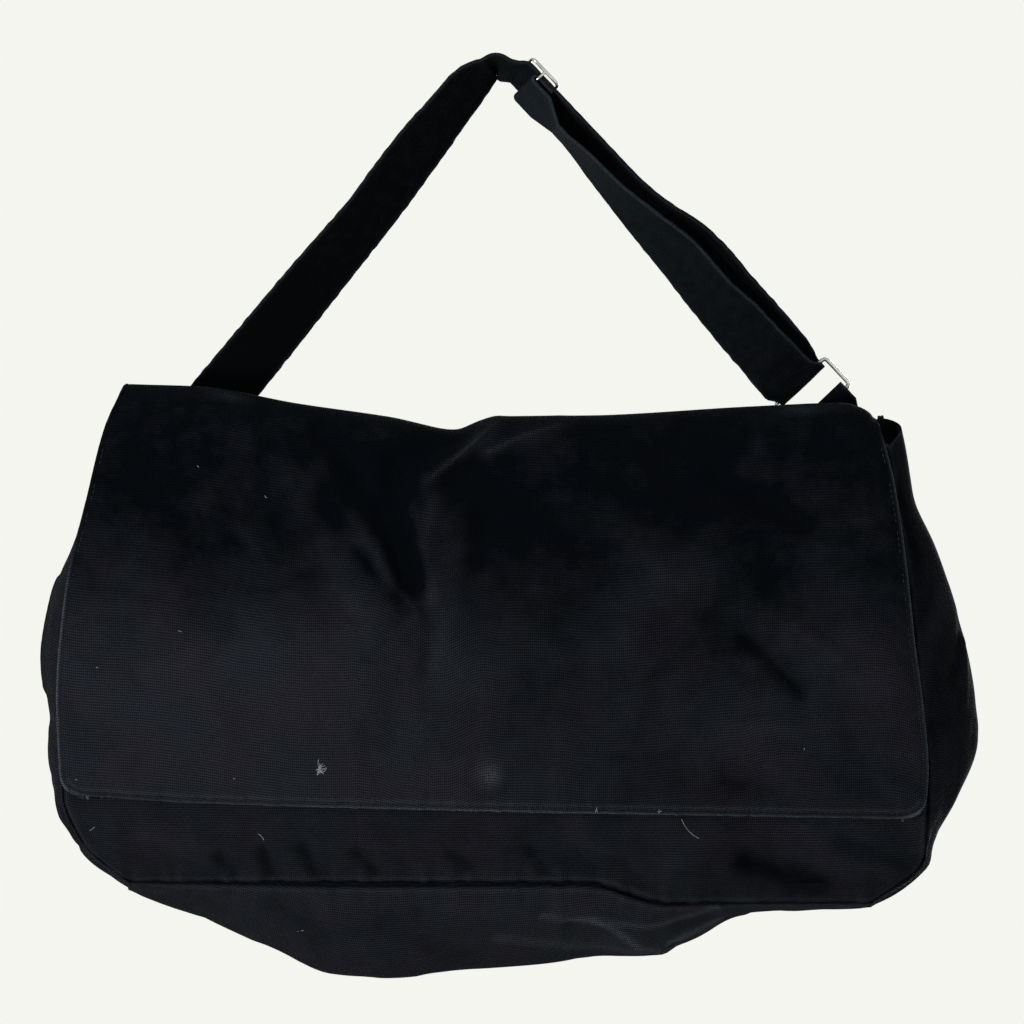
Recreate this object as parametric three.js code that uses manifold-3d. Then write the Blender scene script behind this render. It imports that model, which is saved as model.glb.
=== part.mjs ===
// A canvas messenger bag hung by its webbing strap.
// Millimetres, +Z up, the front faces -Y. The origin is the hang point: the underside of the
// strap where it lies over a hook. The strap hangs in the plane y = 0.

import * as THREE from 'three';
import { mergeVertices } from 'three/addons/utils/BufferGeometryUtils.js';
import Module from 'manifold-3d';

// ---- cloth and webbing ----
const CANVAS = 1.8; // lined cotton canvas of the body
const FLAP_CLOTH = 1;
const FLAP_LINING = 0.6;
const SEAM_GAP = 0.35; // clearance between neighbouring pieces
const LAID_GAP = 0.6; // between a panel and what is laid flat on its curve
const WEBBING_WIDTH = 32;
const WEBBING_THICKNESS = 1.8;

// ---- strap ----
const HOOK_RADIUS = 6; // the bend of the strap over what holds it
const RIGHT_RUN_LENGTH = 234; // from the hook bend to the ring's upper bar
const TAB_LENGTH = 7.777; // free part of the ring's tab
const LEFT_FLEX = -165.08; // x of the middle of the lines where the strap ends bend against the bag
const RIGHT_FLEX = 184.76;
const FLEX_GAP = 0.6;
// how far the webbing is turned from face-on, in degrees, by its distance from the hook bend
const LEFT_TWIST = [[0, 88], [26, 54], [110, 36], [170, 24], [225, 6], [260, 0]];
const RIGHT_TWIST = [[0, 82], [96, 82], [150, 46], [205, 6], [240, 0]];
const EDGE_ON = 90; // the webbing's turn on top of the hook

// ---- ring and slider ----
const RING_WIRE = 3;
const RING_CHAMFER = 0.9;
const RING_SLOT = 17; // inner height of the ring
const RING_PLAY = 1.1; // looseness of the tab round the lower bar
const RING_APPROACH = 60; // the two strap layers part this far before the ring's upper bar
const RING_STRAIGHT = 8; // and run straight onto the bar over this length
const TAB_FRONT = 0.45; // the tab's front leg reaches this share of its length
const TAB_FRONT_CLOSING = 0.7; // share of the loop's half depth left where the front leg ends
const TAB_BACK_EASE = [0.7, 0.6]; // share of the tab's length and distance back, above its end
const SLIDER_LENGTH = 22; // along the webbing
const SLIDER_BAR = 1.8;
const SLIDER_PLACE = 16; // centre of the slider from the hook bend
const BAR_CLEARANCE = 0.3;
const SIDE_CLEARANCE = 1.2; // from the webbing's edges to the ring's and the slider's sides
const RETURN_TURN_IN = 11; // end of the return layer, sewn back round the slider's bar

// ---- body: x of the panels' side edges and y of the panels, by level ----
// The bag's and the flap's levels are heights above the line where the strap ends bend.
const LEFT_EDGE = [[19, -203], [-38, -219], [-98, -232], [-158, -238], [-206, -237],
  [-232, -226], [-254, -200]];
const RIGHT_EDGE = [[19, 202], [-38, 215], [-98, 224], [-158, 230], [-208, 235],
  [-240, 234], [-265, 204]];
const FRONT_PROFILE = [[-12, -38], [-68, -37], [-138, -32], [-198, -23], [-265, -8]];
const BACK_PROFILE = [[-13, -4.2], [-40, 3], [-83, 24], [-138, 49], [-198, 67], [-265, 73]];
const FRONT_CROWN = 5; // how far the middle of a panel swells beyond its sides
const BACK_CROWN = 8;
const CROWN_DEPTH = 100; // the swelling is full this far below the mouth
const HALF_BREADTH = 240;
const BACK_TOP = -13; // top edge of the back panel, clear below the strap's free corners
const MOUTH_LEVEL = -21; // top edge of the front panel
const SEAM_LEFT = -253.5; // the seam between the front panel and the base
const SEAM_RIGHT = -265;
const SEAM_STEP_FROM = 35; // the seam drops between these two places
const SEAM_STEP_TO = 95;
// how far the gussets swell, by share from mouth to base, and the base sags, from left to right
const GUSSET_SWELL_LEFT = [[0, 2], [0.2, 4], [0.34, 10.5], [0.46, 12], [0.58, 8], [0.69, 4],
  [0.8, 2.5], [1, 4]];
const GUSSET_SWELL_RIGHT = [[0, 10], [0.11, 11], [0.22, 18.5], [0.38, 27], [0.56, 32], [0.65, 31],
  [0.77, 17], [0.88, 4], [1, 3]];
const BASE_SAG = [[0, 5], [0.11, 22.5], [0.19, 36], [0.26, 49], [0.31, 52], [0.43, 49], [0.57, 44],
  [0.7, 31], [0.84, 6], [1, 3]];
const ARCH_POWER = 0.75; // fullness of the gussets' and the base's section
const ARCH_FOOT = 0.02; // share of the section cut off at each seam
const CORNER_REACH = 0.07; // share of a side over which the rim turns a corner
const GUSSET_END_SHARE = 0.003; // the base's end seams, as a share of a side
const FACING_HEIGHT = 28; // hem facing inside the mouth
const FACING_INSET = 5;
const BINDING_WIDTH = 7;
const BINDING_THICKNESS = 1.2;
const BINDING_INSET = 2.5;
const BINDING_FROM = 0.22; // the bindings start this share of a side below the mouth
const ANCHOR_DROP = 50; // from the flex line to the end of the stitching
const LEFT_ANCHOR_SPREAD = -20.92; // the stitched ends lean outwards by this much
const RIGHT_ANCHOR_SPREAD = 7.24;
const ANCHOR_LOOSE = 0.42; // share of a stitched end that still stands off the panel
const PATCH_FROM = 0.45; // share of a stitched end above its inner patch

// ---- flap ----
const FOLD_LEVEL = -16;
const CREST = [[-203, 19], [-165, 18], [-107, 8.3], [-60, 1.5], [-26, -4.4], [2, 1.4], [56, 2.3],
  [140, 7], [202, 8.9]];
const REAR_FOOT_FORWARD = 10; // the flap leans forward from its seam, clear of the strap
const ARCH_RISE = 1.33; // control height of the arch over its real height
const FLAP_LEFT = [[19, -203], [-6, -213.6], [-39, -222], [-99, -235.4], [-153, -239.8],
  [-206, -237.6]];
const FLAP_RIGHT = [[19, 202], [-6, 208.7], [-34, 215.8], [-77, 222.4], [-126, 227.8],
  [-153, 231.6], [-193, 234.9], [-219, 233]];
const HEM = [[-238, -205.5], [-171, -209.7], [-13, -214], [163, -217.3], [234, -218.5]];
const HEM_CORNER = 10;
const HEM_CROWDING = 1.7; // above 1 the flap's rows lie closer towards the hem's corners
const LINING_INSET = 0.005; // share of the flap's breadth
const LINING_START = 0.02; // share of the arch left bare at the flap's seam

// ---- magnetic snap ----
const SNAP_X = -3.8;
const SNAP_LEVEL = -194;
const SNAP_DIAMETER = 18;
const SOCKET_DEPTH = 3;
const SOCKET_CHAMFER = 0.8;
const STUD_DEPTH = 2;
const PIN_DIAMETER = 6;
const PIN_LENGTH = 1.8;
const SNAP_CLEARANCE = 0.4;
const WASHER_DIAMETER = 16;
const WASHER_THICKNESS = 0.4;
const WASHER_CLEARANCE = 0.28;

// ---- how finely the curved sheets are divided ----
const FRONT_GRID = { across: 16, down: 9 };
const BACK_GRID = { across: 16, down: 14 };
const GUSSET_GRID = { across: 12, down: 8 };
const BASE_GRID = { across: 18, down: 9 };
const FLAP_TOP_GRID = { across: 18, down: 12 };
const FLAP_FRONT_GRID = { across: 16, down: 12 };
const ANCHOR_GRID = { across: 3, down: 10 };
const PATCH_GRID = { across: 3, down: 6 };
const BINDING_STATIONS = 40;
const RUN_STATIONS = 24;
const SNAP_SIDES = 24;

// ---- finishes ----
const CLOTH = { color: 0x17191c, roughness: 0.95, metalness: 0 };
const LINING = { color: 0x111316, roughness: 0.9, metalness: 0 };
const WEBBING = { color: 0x0d0e10, roughness: 0.85, metalness: 0 };
const NICKEL = { color: 0xb9bbbc, roughness: 0.25, metalness: 1 };

const point = (x, y, z) => new THREE.Vector3(x, y, z);
const mix = THREE.MathUtils.lerp;
const AWAY = point(0, 1, 0); // towards the back
const MIDDLE_LEVEL = -138;

const bag = new THREE.Group();

function addPiece(name, finish, geometry) {
  const mesh = new THREE.Mesh(geometry, new THREE.MeshStandardMaterial(finish));
  mesh.name = name;
  bag.add(mesh);
}

// A smooth curve through pairs of place and value, which never swings past a pair.
function through(stops) {
  const knots = [...stops].sort((a, b) => a[0] - b[0]);
  const rises = knots.slice(1).map(([x, y], i) => (y - knots[i][1]) / (x - knots[i][0]));
  const slopes = knots.map((_, i) => {
    const [before, after] = [rises[i - 1] ?? rises[i], rises[i] ?? rises[i - 1]];
    return before * after > 0 ? (2 * before * after) / (before + after) : 0;
  });
  return (place) => {
    const x = THREE.MathUtils.clamp(place, knots[0][0], knots.at(-1)[0]);
    const i = Math.max(0, knots.findIndex(([knot]) => knot >= x) - 1);
    const [[x0, y0], [x1, y1]] = [knots[i], knots[i + 1]];
    const t = (x - x0) / (x1 - x0);
    const ease = t * t * (3 - 2 * t);
    const tails = t * (1 - t) * ((1 - t) * slopes[i] - t * slopes[i + 1]);
    return y0 + (y1 - y0) * ease + (x1 - x0) * tails;
  };
}

// A closed geometry from points and triangles, turned so that its faces point out.
function solidOf(points, triangles) {
  let volume = 0;
  for (const [a, b, c] of triangles) {
    volume += points[a].dot(points[b].clone().cross(points[c]));
  }
  const index = triangles.flatMap(([a, b, c]) => (volume < 0 ? [a, c, b] : [a, b, c]));
  const geometry = new THREE.BufferGeometry().setFromPoints(points);
  geometry.setIndex(index);
  geometry.computeVertexNormals();
  return geometry;
}

// A sheet whose outer face is face(u, v). Its thickness lies towards the middle of the bag, and
// `lift` sets the whole sheet further in.
function sheet(face, columns, rows, thickness, lift = 0) {
  const step = 1e-3;
  const points = [];
  for (const depth of [lift, lift + thickness]) {
    for (let j = 0; j <= rows; j += 1) {
      for (let i = 0; i <= columns; i += 1) {
        const u = i / columns;
        const v = j / rows;
        const [u0, v0] = [Math.min(u, 1 - step), Math.min(v, 1 - step)];
        const along = face(u0 + step, v0).sub(face(u0, v0));
        const down = face(u0, v0 + step).sub(face(u0, v0));
        const normal = along.cross(down).normalize();
        const place = face(u, v);
        if (normal.dot(middleNear(place).sub(place)) < 0) normal.negate();
        points.push(place.addScaledVector(normal, depth));
      }
    }
  }
  const layer = (columns + 1) * (rows + 1);
  const at = (i, j, k) => k * layer + j * (columns + 1) + i;
  const triangles = [];
  const quad = (a, b, c, d) => triangles.push([a, b, c], [a, c, d]);
  for (let j = 0; j < rows; j += 1) {
    for (let i = 0; i < columns; i += 1) {
      quad(at(i, j, 0), at(i + 1, j, 0), at(i + 1, j + 1, 0), at(i, j + 1, 0));
      quad(at(i, j + 1, 1), at(i + 1, j + 1, 1), at(i + 1, j, 1), at(i, j, 1));
    }
  }
  for (let i = 0; i < columns; i += 1) {
    quad(at(i + 1, 0, 0), at(i, 0, 0), at(i, 0, 1), at(i + 1, 0, 1));
    quad(at(i, rows, 0), at(i + 1, rows, 0), at(i + 1, rows, 1), at(i, rows, 1));
  }
  for (let j = 0; j < rows; j += 1) {
    quad(at(0, j, 0), at(0, j + 1, 0), at(0, j + 1, 1), at(0, j, 1));
    quad(at(columns, j + 1, 0), at(columns, j, 0), at(columns, j, 1), at(columns, j + 1, 1));
  }
  return solidOf(points, triangles);
}

// A solid lofted through rings of equal count, closed by a flat cap at each end. Both halves of
// a ring are split along the same diagonals, so that a twisted band keeps its thickness.
function loft(rings) {
  const count = rings[0].length;
  const triangles = [];
  for (let r = 0; r + 1 < rings.length; r += 1) {
    for (let i = 0; i < count; i += 1) {
      const [a, b] = [r * count + i, r * count + ((i + 1) % count)];
      if (i < count / 2) triangles.push([a, b, b + count], [a, b + count, a + count]);
      else triangles.push([a, b, a + count], [b, b + count, a + count]);
    }
  }
  const last = (rings.length - 1) * count;
  for (let i = 1; i + 1 < count; i += 1) {
    triangles.push([0, i + 1, i], [last, last + i, last + i + 1]);
  }
  return solidOf(rings.flat(), triangles);
}

// The four corners of a flat band: `across` is its width direction, `way` its run.
function bandRing(centre, across, way, width, thickness) {
  const normal = across.clone().cross(way).normalize();
  return [[1, 1], [-1, 1], [-1, -1], [1, -1]].map(([w, n]) => centre.clone()
    .addScaledVector(across, (w * width) / 2)
    .addScaledVector(normal, (n * thickness) / 2));
}

// A webbing band through stations of centre and width direction.
function band(stations, width = WEBBING_WIDTH, thickness = WEBBING_THICKNESS) {
  return stations.map(({ centre, across }, i) => {
    const before = stations[Math.max(i - 1, 0)].centre;
    const after = stations[Math.min(i + 1, stations.length - 1)].centre;
    const way = after.clone().sub(before).normalize();
    return bandRing(centre, across, way, width, thickness);
  });
}

// ---- the strap's two runs ----
const radians = THREE.MathUtils.degToRad;
const BEND_RADIUS = HOOK_RADIUS + WEBBING_THICKNESS / 2;
const BEND_CENTRE = point(0, 0, -HOOK_RADIUS);
const RING_PITCH = RING_SLOT + RING_WIRE;

// The bag hangs as low as the taut right run, the ring and its tab reach.
const rightReach = Math.hypot(
  RIGHT_RUN_LENGTH + RING_PITCH + TAB_LENGTH + FLEX_GAP / 2,
  BEND_RADIUS,
);
const flexDrop = Math.sqrt(rightReach ** 2 - RIGHT_FLEX ** 2);
const FLEX_LEVEL = BEND_CENTRE.z - flexDrop;

// The direction of a run that leaves the hook bend and ends at the flex line.
function runDown(flex) {
  const slope = Math.atan2(flexDrop, Math.abs(flex))
    + Math.asin(BEND_RADIUS / Math.hypot(flexDrop, flex));
  return point(Math.sign(flex) * Math.cos(slope), 0, -Math.sin(slope));
}
const LEFT_DOWN = runDown(LEFT_FLEX);
const LEFT_SIDE = point(LEFT_DOWN.z, 0, -LEFT_DOWN.x);
const RIGHT_DOWN = runDown(RIGHT_FLEX);
const RIGHT_SIDE = point(-RIGHT_DOWN.z, 0, RIGHT_DOWN.x);
const LEFT_START = BEND_CENTRE.clone().addScaledVector(LEFT_SIDE, BEND_RADIUS);
const RIGHT_START = BEND_CENTRE.clone().addScaledVector(RIGHT_SIDE, BEND_RADIUS);
const leftTwist = through(LEFT_TWIST);
const rightTwist = through(RIGHT_TWIST);

// Width direction of webbing turned by `twist` degrees from face-on.
const turned = (side, twist) => side.clone().multiplyScalar(Math.cos(radians(twist)))
  .addScaledVector(AWAY, -Math.sin(radians(twist)));

// The webbing's outer side on the right run: the back at the ring, the top at the hook.
const rightOuter = (s) => turned(RIGHT_SIDE, rightTwist(s)).cross(RIGHT_DOWN).normalize();

const RING_LOOP = RING_WIRE / 2 + BAR_CLEARANCE + WEBBING_THICKNESS / 2;
const TAB_LOOP = RING_WIRE / 2 + RING_PLAY + BAR_CLEARANCE + WEBBING_THICKNESS / 2;
const UPPER_BAR = RIGHT_START.clone().addScaledVector(RIGHT_DOWN, RIGHT_RUN_LENGTH);
const LOWER_BAR = UPPER_BAR.clone().addScaledVector(RIGHT_DOWN, RING_PITCH);
const LAYERS_PART = RIGHT_RUN_LENGTH - RING_APPROACH;
const LAYERS_STRAIGHT = RIGHT_RUN_LENGTH - RING_STRAIGHT;
const mainOffset = through([[0, 0], [LAYERS_PART, 0], [LAYERS_STRAIGHT, RING_LOOP],
  [RIGHT_RUN_LENGTH, RING_LOOP]]);

// A place on the right run, `offset` to the outer side of its axis.
const onRightRun = (s, offset) => ({
  centre: RIGHT_START.clone().addScaledVector(RIGHT_DOWN, s).addScaledVector(rightOuter(s), offset),
  across: turned(RIGHT_SIDE, rightTwist(s)),
});

function strapWebbing() {
  const leftRun = [];
  const leftLength = (LEFT_START.z - FLEX_LEVEL) / -LEFT_DOWN.z - FLEX_GAP / 2;
  for (let i = RUN_STATIONS; i >= 1; i -= 1) {
    const s = (leftLength * i) / RUN_STATIONS;
    leftRun.push({
      centre: LEFT_START.clone().addScaledVector(LEFT_DOWN, s),
      across: turned(LEFT_SIDE, leftTwist(s)),
    });
  }
  const bend = [0, 0.25, 0.5, 0.75, 1].map((share) => {
    const way = LEFT_SIDE.clone().lerp(RIGHT_SIDE, share).normalize();
    const ends = mix(LEFT_TWIST[0][1], RIGHT_TWIST[0][1], share);
    const twist = mix(ends, EDGE_ON, 1 - Math.abs(1 - 2 * share));
    return {
      centre: BEND_CENTRE.clone().addScaledVector(way, BEND_RADIUS),
      across: turned(way, twist),
    };
  });
  const rightRun = [];
  for (let i = 1; i <= RUN_STATIONS; i += 1) {
    const s = (RIGHT_RUN_LENGTH * i) / RUN_STATIONS;
    rightRun.push(onRightRun(s, mainOffset(s)));
  }
  const turn = [30, 60, 90, 120, 150, 180].map((angle) => ({
    centre: UPPER_BAR.clone()
      .addScaledVector(RIGHT_DOWN, RING_LOOP * Math.sin(radians(angle)))
      .addScaledVector(AWAY, RING_LOOP * Math.cos(radians(angle))),
    across: RIGHT_SIDE,
  }));
  return loft(band([...leftRun, ...bend, ...rightRun, ...turn]));
}

// The slider: a rounded frame outside the webbing, with its middle bar on the inner side.
const BAR_LOOP = SLIDER_BAR * Math.SQRT1_2 + BAR_CLEARANCE + WEBBING_THICKNESS / 2;
const OUTER_BAR_OFFSET = WEBBING_THICKNESS / 2 + BAR_CLEARANCE + SLIDER_BAR / 2;
const MIDDLE_BAR_OFFSET = WEBBING_THICKNESS / 2 + BAR_CLEARANCE + BAR_LOOP
  + WEBBING_THICKNESS / 2;
const SLIDER_INNER = WEBBING_WIDTH + 2 * SIDE_CLEARANCE;

function strapReturn() {
  const start = SLIDER_PLACE;
  const stations = [];
  const nearSide = -(MIDDLE_BAR_OFFSET - BAR_LOOP);
  const farSide = -(MIDDLE_BAR_OFFSET + BAR_LOOP);
  stations.push(onRightRun(start + RETURN_TURN_IN, nearSide));
  for (const angle of [0, 45, 90, 135, 180]) {
    const place = start - BAR_LOOP * Math.sin(radians(angle));
    stations.push(onRightRun(place, -MIDDLE_BAR_OFFSET + BAR_LOOP * Math.cos(radians(angle))));
  }
  const pressed = -WEBBING_THICKNESS - 2 * SEAM_GAP;
  const approach = through([[start, farSide], [start + 2 * RETURN_TURN_IN, farSide],
    [start + 4 * RETURN_TURN_IN, pressed], [LAYERS_PART, pressed], [LAYERS_STRAIGHT, -RING_LOOP],
    [RIGHT_RUN_LENGTH, -RING_LOOP]]);
  const end = RIGHT_RUN_LENGTH - SEAM_GAP;
  const first = Math.ceil((start / RIGHT_RUN_LENGTH) * RUN_STATIONS);
  for (let i = first; i <= RUN_STATIONS; i += 1) {
    const s = Math.min((RIGHT_RUN_LENGTH * i) / RUN_STATIONS, end);
    stations.push(onRightRun(s, approach(s)));
  }
  return loft(band(stations));
}

// The free part of the ring's tab: up behind, round the lower bar and down in front.
function ringTab() {
  const place = (down, back) => ({
    centre: LOWER_BAR.clone().addScaledVector(RIGHT_DOWN, down).addScaledVector(AWAY, back),
    across: RIGHT_SIDE,
  });
  const loop = [45, 15, -15, -45, -75, -105, -135, -165, -195].map((angle) => place(
    TAB_LOOP * Math.sin(radians(angle)),
    TAB_LOOP * Math.cos(radians(angle)),
  ));
  const front = place(TAB_LENGTH * TAB_FRONT, -TAB_LOOP * TAB_FRONT_CLOSING);
  const [easeShare, easeBack] = TAB_BACK_EASE;
  const back = place(TAB_LENGTH * easeShare, easeBack);
  return loft(band([place(TAB_LENGTH, 0), back, ...loop, front]));
}

// A rectangle with rounded corners about the origin.
function roundedRectangle(width, height, corner) {
  const [x, y] = [width / 2, height / 2];
  return new THREE.Shape()
    .moveTo(corner - x, -y)
    .lineTo(x - corner, -y)
    .quadraticCurveTo(x, -y, x, corner - y)
    .lineTo(x, y - corner)
    .quadraticCurveTo(x, y, x - corner, y)
    .lineTo(corner - x, y)
    .quadraticCurveTo(-x, y, -x, y - corner)
    .lineTo(-x, corner - y)
    .quadraticCurveTo(-x, -y, corner - x, -y);
}

// Sets a geometry made in x, y, z onto three directions and a centre.
function lay(geometry, x, y, z, centre) {
  return geometry.applyMatrix4(new THREE.Matrix4().makeBasis(x, y, z).setPosition(centre));
}

// The ring: a bent wire with chamfered edges, its long bars square to the webbing.
function rectangularRing() {
  const slotLength = WEBBING_WIDTH + 2 * SIDE_CLEARANCE;
  const bevel = RING_CHAMFER;
  const shape = roundedRectangle(
    slotLength + 2 * (RING_WIRE - bevel),
    RING_SLOT + 2 * (RING_WIRE - bevel),
    RING_WIRE,
  );
  shape.holes.push(roundedRectangle(slotLength + 2 * bevel, RING_SLOT + 2 * bevel, RING_WIRE / 3));
  const geometry = new THREE.ExtrudeGeometry(shape, {
    depth: RING_WIRE - 2 * bevel,
    bevelThickness: bevel,
    bevelSize: bevel,
    bevelSegments: 1,
    curveSegments: 3,
  });
  geometry.translate(0, 0, bevel - RING_WIRE / 2);
  return lay(geometry, RIGHT_SIDE, RIGHT_DOWN, AWAY, UPPER_BAR.clone().lerp(LOWER_BAR, 0.5));
}

// Joins boxes given as [width, length, depth, centre] into one solid.
const wasm = await Module();
wasm.setup();

function joinedBoxes(boxes) {
  const solids = boxes.map(([width, length, depth, centre]) => {
    const box = new THREE.BoxGeometry(width, length, depth).translate(...centre);
    box.deleteAttribute('normal');
    box.deleteAttribute('uv');
    const merged = mergeVertices(box);
    return new wasm.Manifold(new wasm.Mesh({
      numProp: 3,
      vertProperties: merged.attributes.position.array,
      triVerts: new Uint32Array(merged.index.array),
    }));
  });
  const mesh = solids.reduce((whole, solid) => whole.add(solid)).getMesh();
  const geometry = new THREE.BufferGeometry();
  geometry.setAttribute('position', new THREE.BufferAttribute(mesh.vertProperties, 3));
  geometry.setIndex(new THREE.BufferAttribute(mesh.triVerts, 1));
  return geometry;
}

// The slider: two end bars outside the webbing, a cheek at each side and the middle bar inside.
function sliderFrame() {
  const width = SLIDER_INNER + 2 * SLIDER_BAR;
  const side = (SLIDER_INNER + SLIDER_BAR) / 2;
  const end = (SLIDER_LENGTH - SLIDER_BAR) / 2;
  const drop = OUTER_BAR_OFFSET + MIDDLE_BAR_OFFSET;
  const boxes = [-1, 1].flatMap((way) => [
    [SLIDER_BAR, SLIDER_LENGTH, SLIDER_BAR, [way * side, 0, OUTER_BAR_OFFSET]],
    [SLIDER_BAR, 2 * SLIDER_BAR, drop, [way * side, 0, OUTER_BAR_OFFSET - drop / 2]],
    [width, SLIDER_BAR, SLIDER_BAR, [0, way * end, OUTER_BAR_OFFSET]],
  ]);
  boxes.push([width, SLIDER_BAR, SLIDER_BAR, [0, 0, -MIDDLE_BAR_OFFSET]]);
  const { centre, across } = onRightRun(SLIDER_PLACE, 0);
  return lay(joinedBoxes(boxes), across, RIGHT_DOWN, rightOuter(SLIDER_PLACE), centre);
}

// ---- the body's outer form ----
const leftEdge = through(LEFT_EDGE);
const rightEdge = through(RIGHT_EDGE);
const frontProfile = through(FRONT_PROFILE);
const backProfile = through(BACK_PROFILE);
const swellAcross = (x) => Math.cos((THREE.MathUtils.clamp(x / HALF_BREADTH, -1, 1) * Math.PI) / 2);
const swellDown = (z) => THREE.MathUtils.smoothstep(BACK_TOP - z, 0, CROWN_DEPTH);
const frontY = (x, z) => frontProfile(z) - FRONT_CROWN * swellAcross(x) * swellDown(z);
const middleNear = ({ x, z }) => point(x / 2, (frontProfile(z) + backProfile(z)) / 2, MIDDLE_LEVEL);
const backY = (x, z) => backProfile(z) + BACK_CROWN * swellAcross(x) * swellDown(z);
const seamLevel = (x) => mix(
  SEAM_LEFT,
  SEAM_RIGHT,
  THREE.MathUtils.smoothstep(x, SEAM_STEP_FROM, SEAM_STEP_TO),
);

// Where a panel's share (u across, v down) lies in x and z, from a top level to the base seam.
function panelPlace(u, v, top) {
  const foot = seamLevel(mix(leftEdge(SEAM_LEFT), rightEdge(SEAM_RIGHT), u));
  const z = mix(top, foot, v);
  return [mix(leftEdge(z), rightEdge(z), u), z];
}

function frontFace(u, v) {
  const [x, z] = panelPlace(u, v, MOUTH_LEVEL);
  return point(x, frontY(x, z), z);
}

function backFace(u, v) {
  const [x, z] = panelPlace(u, v, BACK_TOP);
  return point(x, backY(x, z), z);
}

// The gussets and the base follow the panels' rim: down the left side (0 to 1), along the base
// (1 to 2) and up the right side (2 to 3).
function rim(face, s) {
  if (s <= 1) return face(0, s);
  return s < 2 ? face(s - 1, 1) : face(1, 3 - s);
}

// The outward direction is read over a short reach of rim, so that it turns gently at corners.
function rimOutward(s) {
  const before = rim(frontFace, Math.max(s - CORNER_REACH, 0));
  const after = rim(frontFace, Math.min(s + CORNER_REACH, 3));
  return point(after.z - before.z, 0, before.x - after.x).normalize();
}

const leftSwell = through(GUSSET_SWELL_LEFT);
const rightSwell = through(GUSSET_SWELL_RIGHT);
const baseSag = through(BASE_SAG);

function rimSwell(s) {
  if (s <= 1) return leftSwell(s);
  return s < 2 ? baseSag(s - 1) : rightSwell(3 - s);
}

function stripFace(s, t) {
  const front = rim(frontFace, s);
  const back = rim(backFace, s);
  const edge = (CANVAS + SEAM_GAP) / (back.y - front.y);
  const across = mix(edge, 1 - edge, t);
  const around = Math.PI * mix(ARCH_FOOT, 1 - ARCH_FOOT, t);
  const swell = rimSwell(s) * Math.sin(around) ** ARCH_POWER;
  return front.lerp(back, across).addScaledVector(rimOutward(s), swell);
}

// ---- the flap ----
const crest = through(CREST);
const hem = through(HEM);
const flapLeft = through(FLAP_LEFT);
const flapRight = through(FLAP_RIGHT);
const FLAP_STANDOFF = 2 * SEAM_GAP + SOCKET_DEPTH + SNAP_CLEARANCE + STUD_DEPTH;
const LAYER_GAP = WASHER_THICKNESS + 2 * WASHER_CLEARANCE;
const FLAP_STACK = FLAP_CLOTH + LAYER_GAP + FLAP_LINING;
const flapY = (x, z) => frontY(x, z) - FLAP_STANDOFF - FLAP_STACK;

// The height and depth of the flap's arch over the mouth at x, from its seam (0) to the fold (1).
function arch(x, t) {
  const foot = new THREE.Vector2(backY(x, BACK_TOP) - CANVAS - SEAM_GAP, BACK_TOP + SEAM_GAP);
  const fold = new THREE.Vector2(flapY(x, FOLD_LEVEL), FOLD_LEVEL);
  const rise = (crest(x) - foot.y) * ARCH_RISE;
  return new THREE.CubicBezierCurve(
    foot,
    new THREE.Vector2(foot.x - REAR_FOOT_FORWARD, foot.y + rise),
    new THREE.Vector2(fold.x, foot.y + rise),
    fold,
  ).getPoint(t);
}

function flapTopFace(u, t) {
  const level = (side) => (t < 0.5 ? crest(side) : arch(side, t).y);
  const x = mix(flapLeft(level(-HALF_BREADTH)), flapRight(level(HALF_BREADTH)), u);
  const section = arch(x, t);
  return point(x, section.x, section.y);
}

function flapFrontFace(u, v) {
  const foot = hem(mix(HEM[0][0], HEM.at(-1)[0], u));
  const z = mix(FOLD_LEVEL - SEAM_GAP, foot, 1 - (1 - v) ** HEM_CROWDING);
  const near = Math.max(0, HEM_CORNER - (z - foot));
  const inset = HEM_CORNER - Math.sqrt(HEM_CORNER ** 2 - near ** 2);
  const x = mix(flapLeft(z) + inset, flapRight(z) - inset, u);
  return point(x, flapY(x, z), z);
}

// Part of a face, as its own face.
const part = (face, [u0, u1], [v0, v1]) => (u, v) => face(mix(u0, u1, u), mix(v0, v1, v));

// ---- the strap's stitched ends on the back panel ----
// A stitched end runs on square from its strap and turns steeper, down the back panel. Its
// upper share stands off the panel, level with the strap.
function anchorFace(flex, down, side, spread) {
  const start = point(flex, 0, 0).addScaledVector(down, FLEX_GAP / 2);
  const foot = point(flex + spread, 0, -ANCHOR_DROP);
  const way = foot.clone().sub(start).normalize();
  const footSide = point(-way.z, 0, way.x).multiplyScalar(Math.sign(side.x));
  const standOff = -backY(start.x, BACK_TOP) - LAID_GAP - WEBBING_THICKNESS / 2;
  return (u, v) => {
    const half = mix(-0.5, 0.5, u) * WEBBING_WIDTH;
    const upper = start.clone().addScaledVector(side, half);
    const place = upper.lerp(foot.clone().addScaledVector(footSide, half), v);
    const loose = Math.max(0, 1 - v / ANCHOR_LOOSE) ** 2;
    place.y = backY(place.x, place.z) + standOff * loose;
    return place;
  };
}

// ---- the snap, turned about +Y and laid on the front panel's slope ----
function onSnapAxis(profile) {
  const outline = profile.map(([r, y]) => new THREE.Vector2(r, y)).reverse();
  const geometry = new THREE.LatheGeometry(outline, SNAP_SIDES);
  const slope = Math.atan2(
    frontY(SNAP_X, SNAP_LEVEL + PIN_LENGTH) - frontY(SNAP_X, SNAP_LEVEL - PIN_LENGTH),
    2 * PIN_LENGTH,
  );
  geometry.rotateX(-slope);
  return geometry.translate(SNAP_X, frontY(SNAP_X, SNAP_LEVEL), SNAP_LEVEL);
}

const disc = (radius, from, to) => [[0, from], [radius, from], [radius, to], [0, to]];

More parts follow.
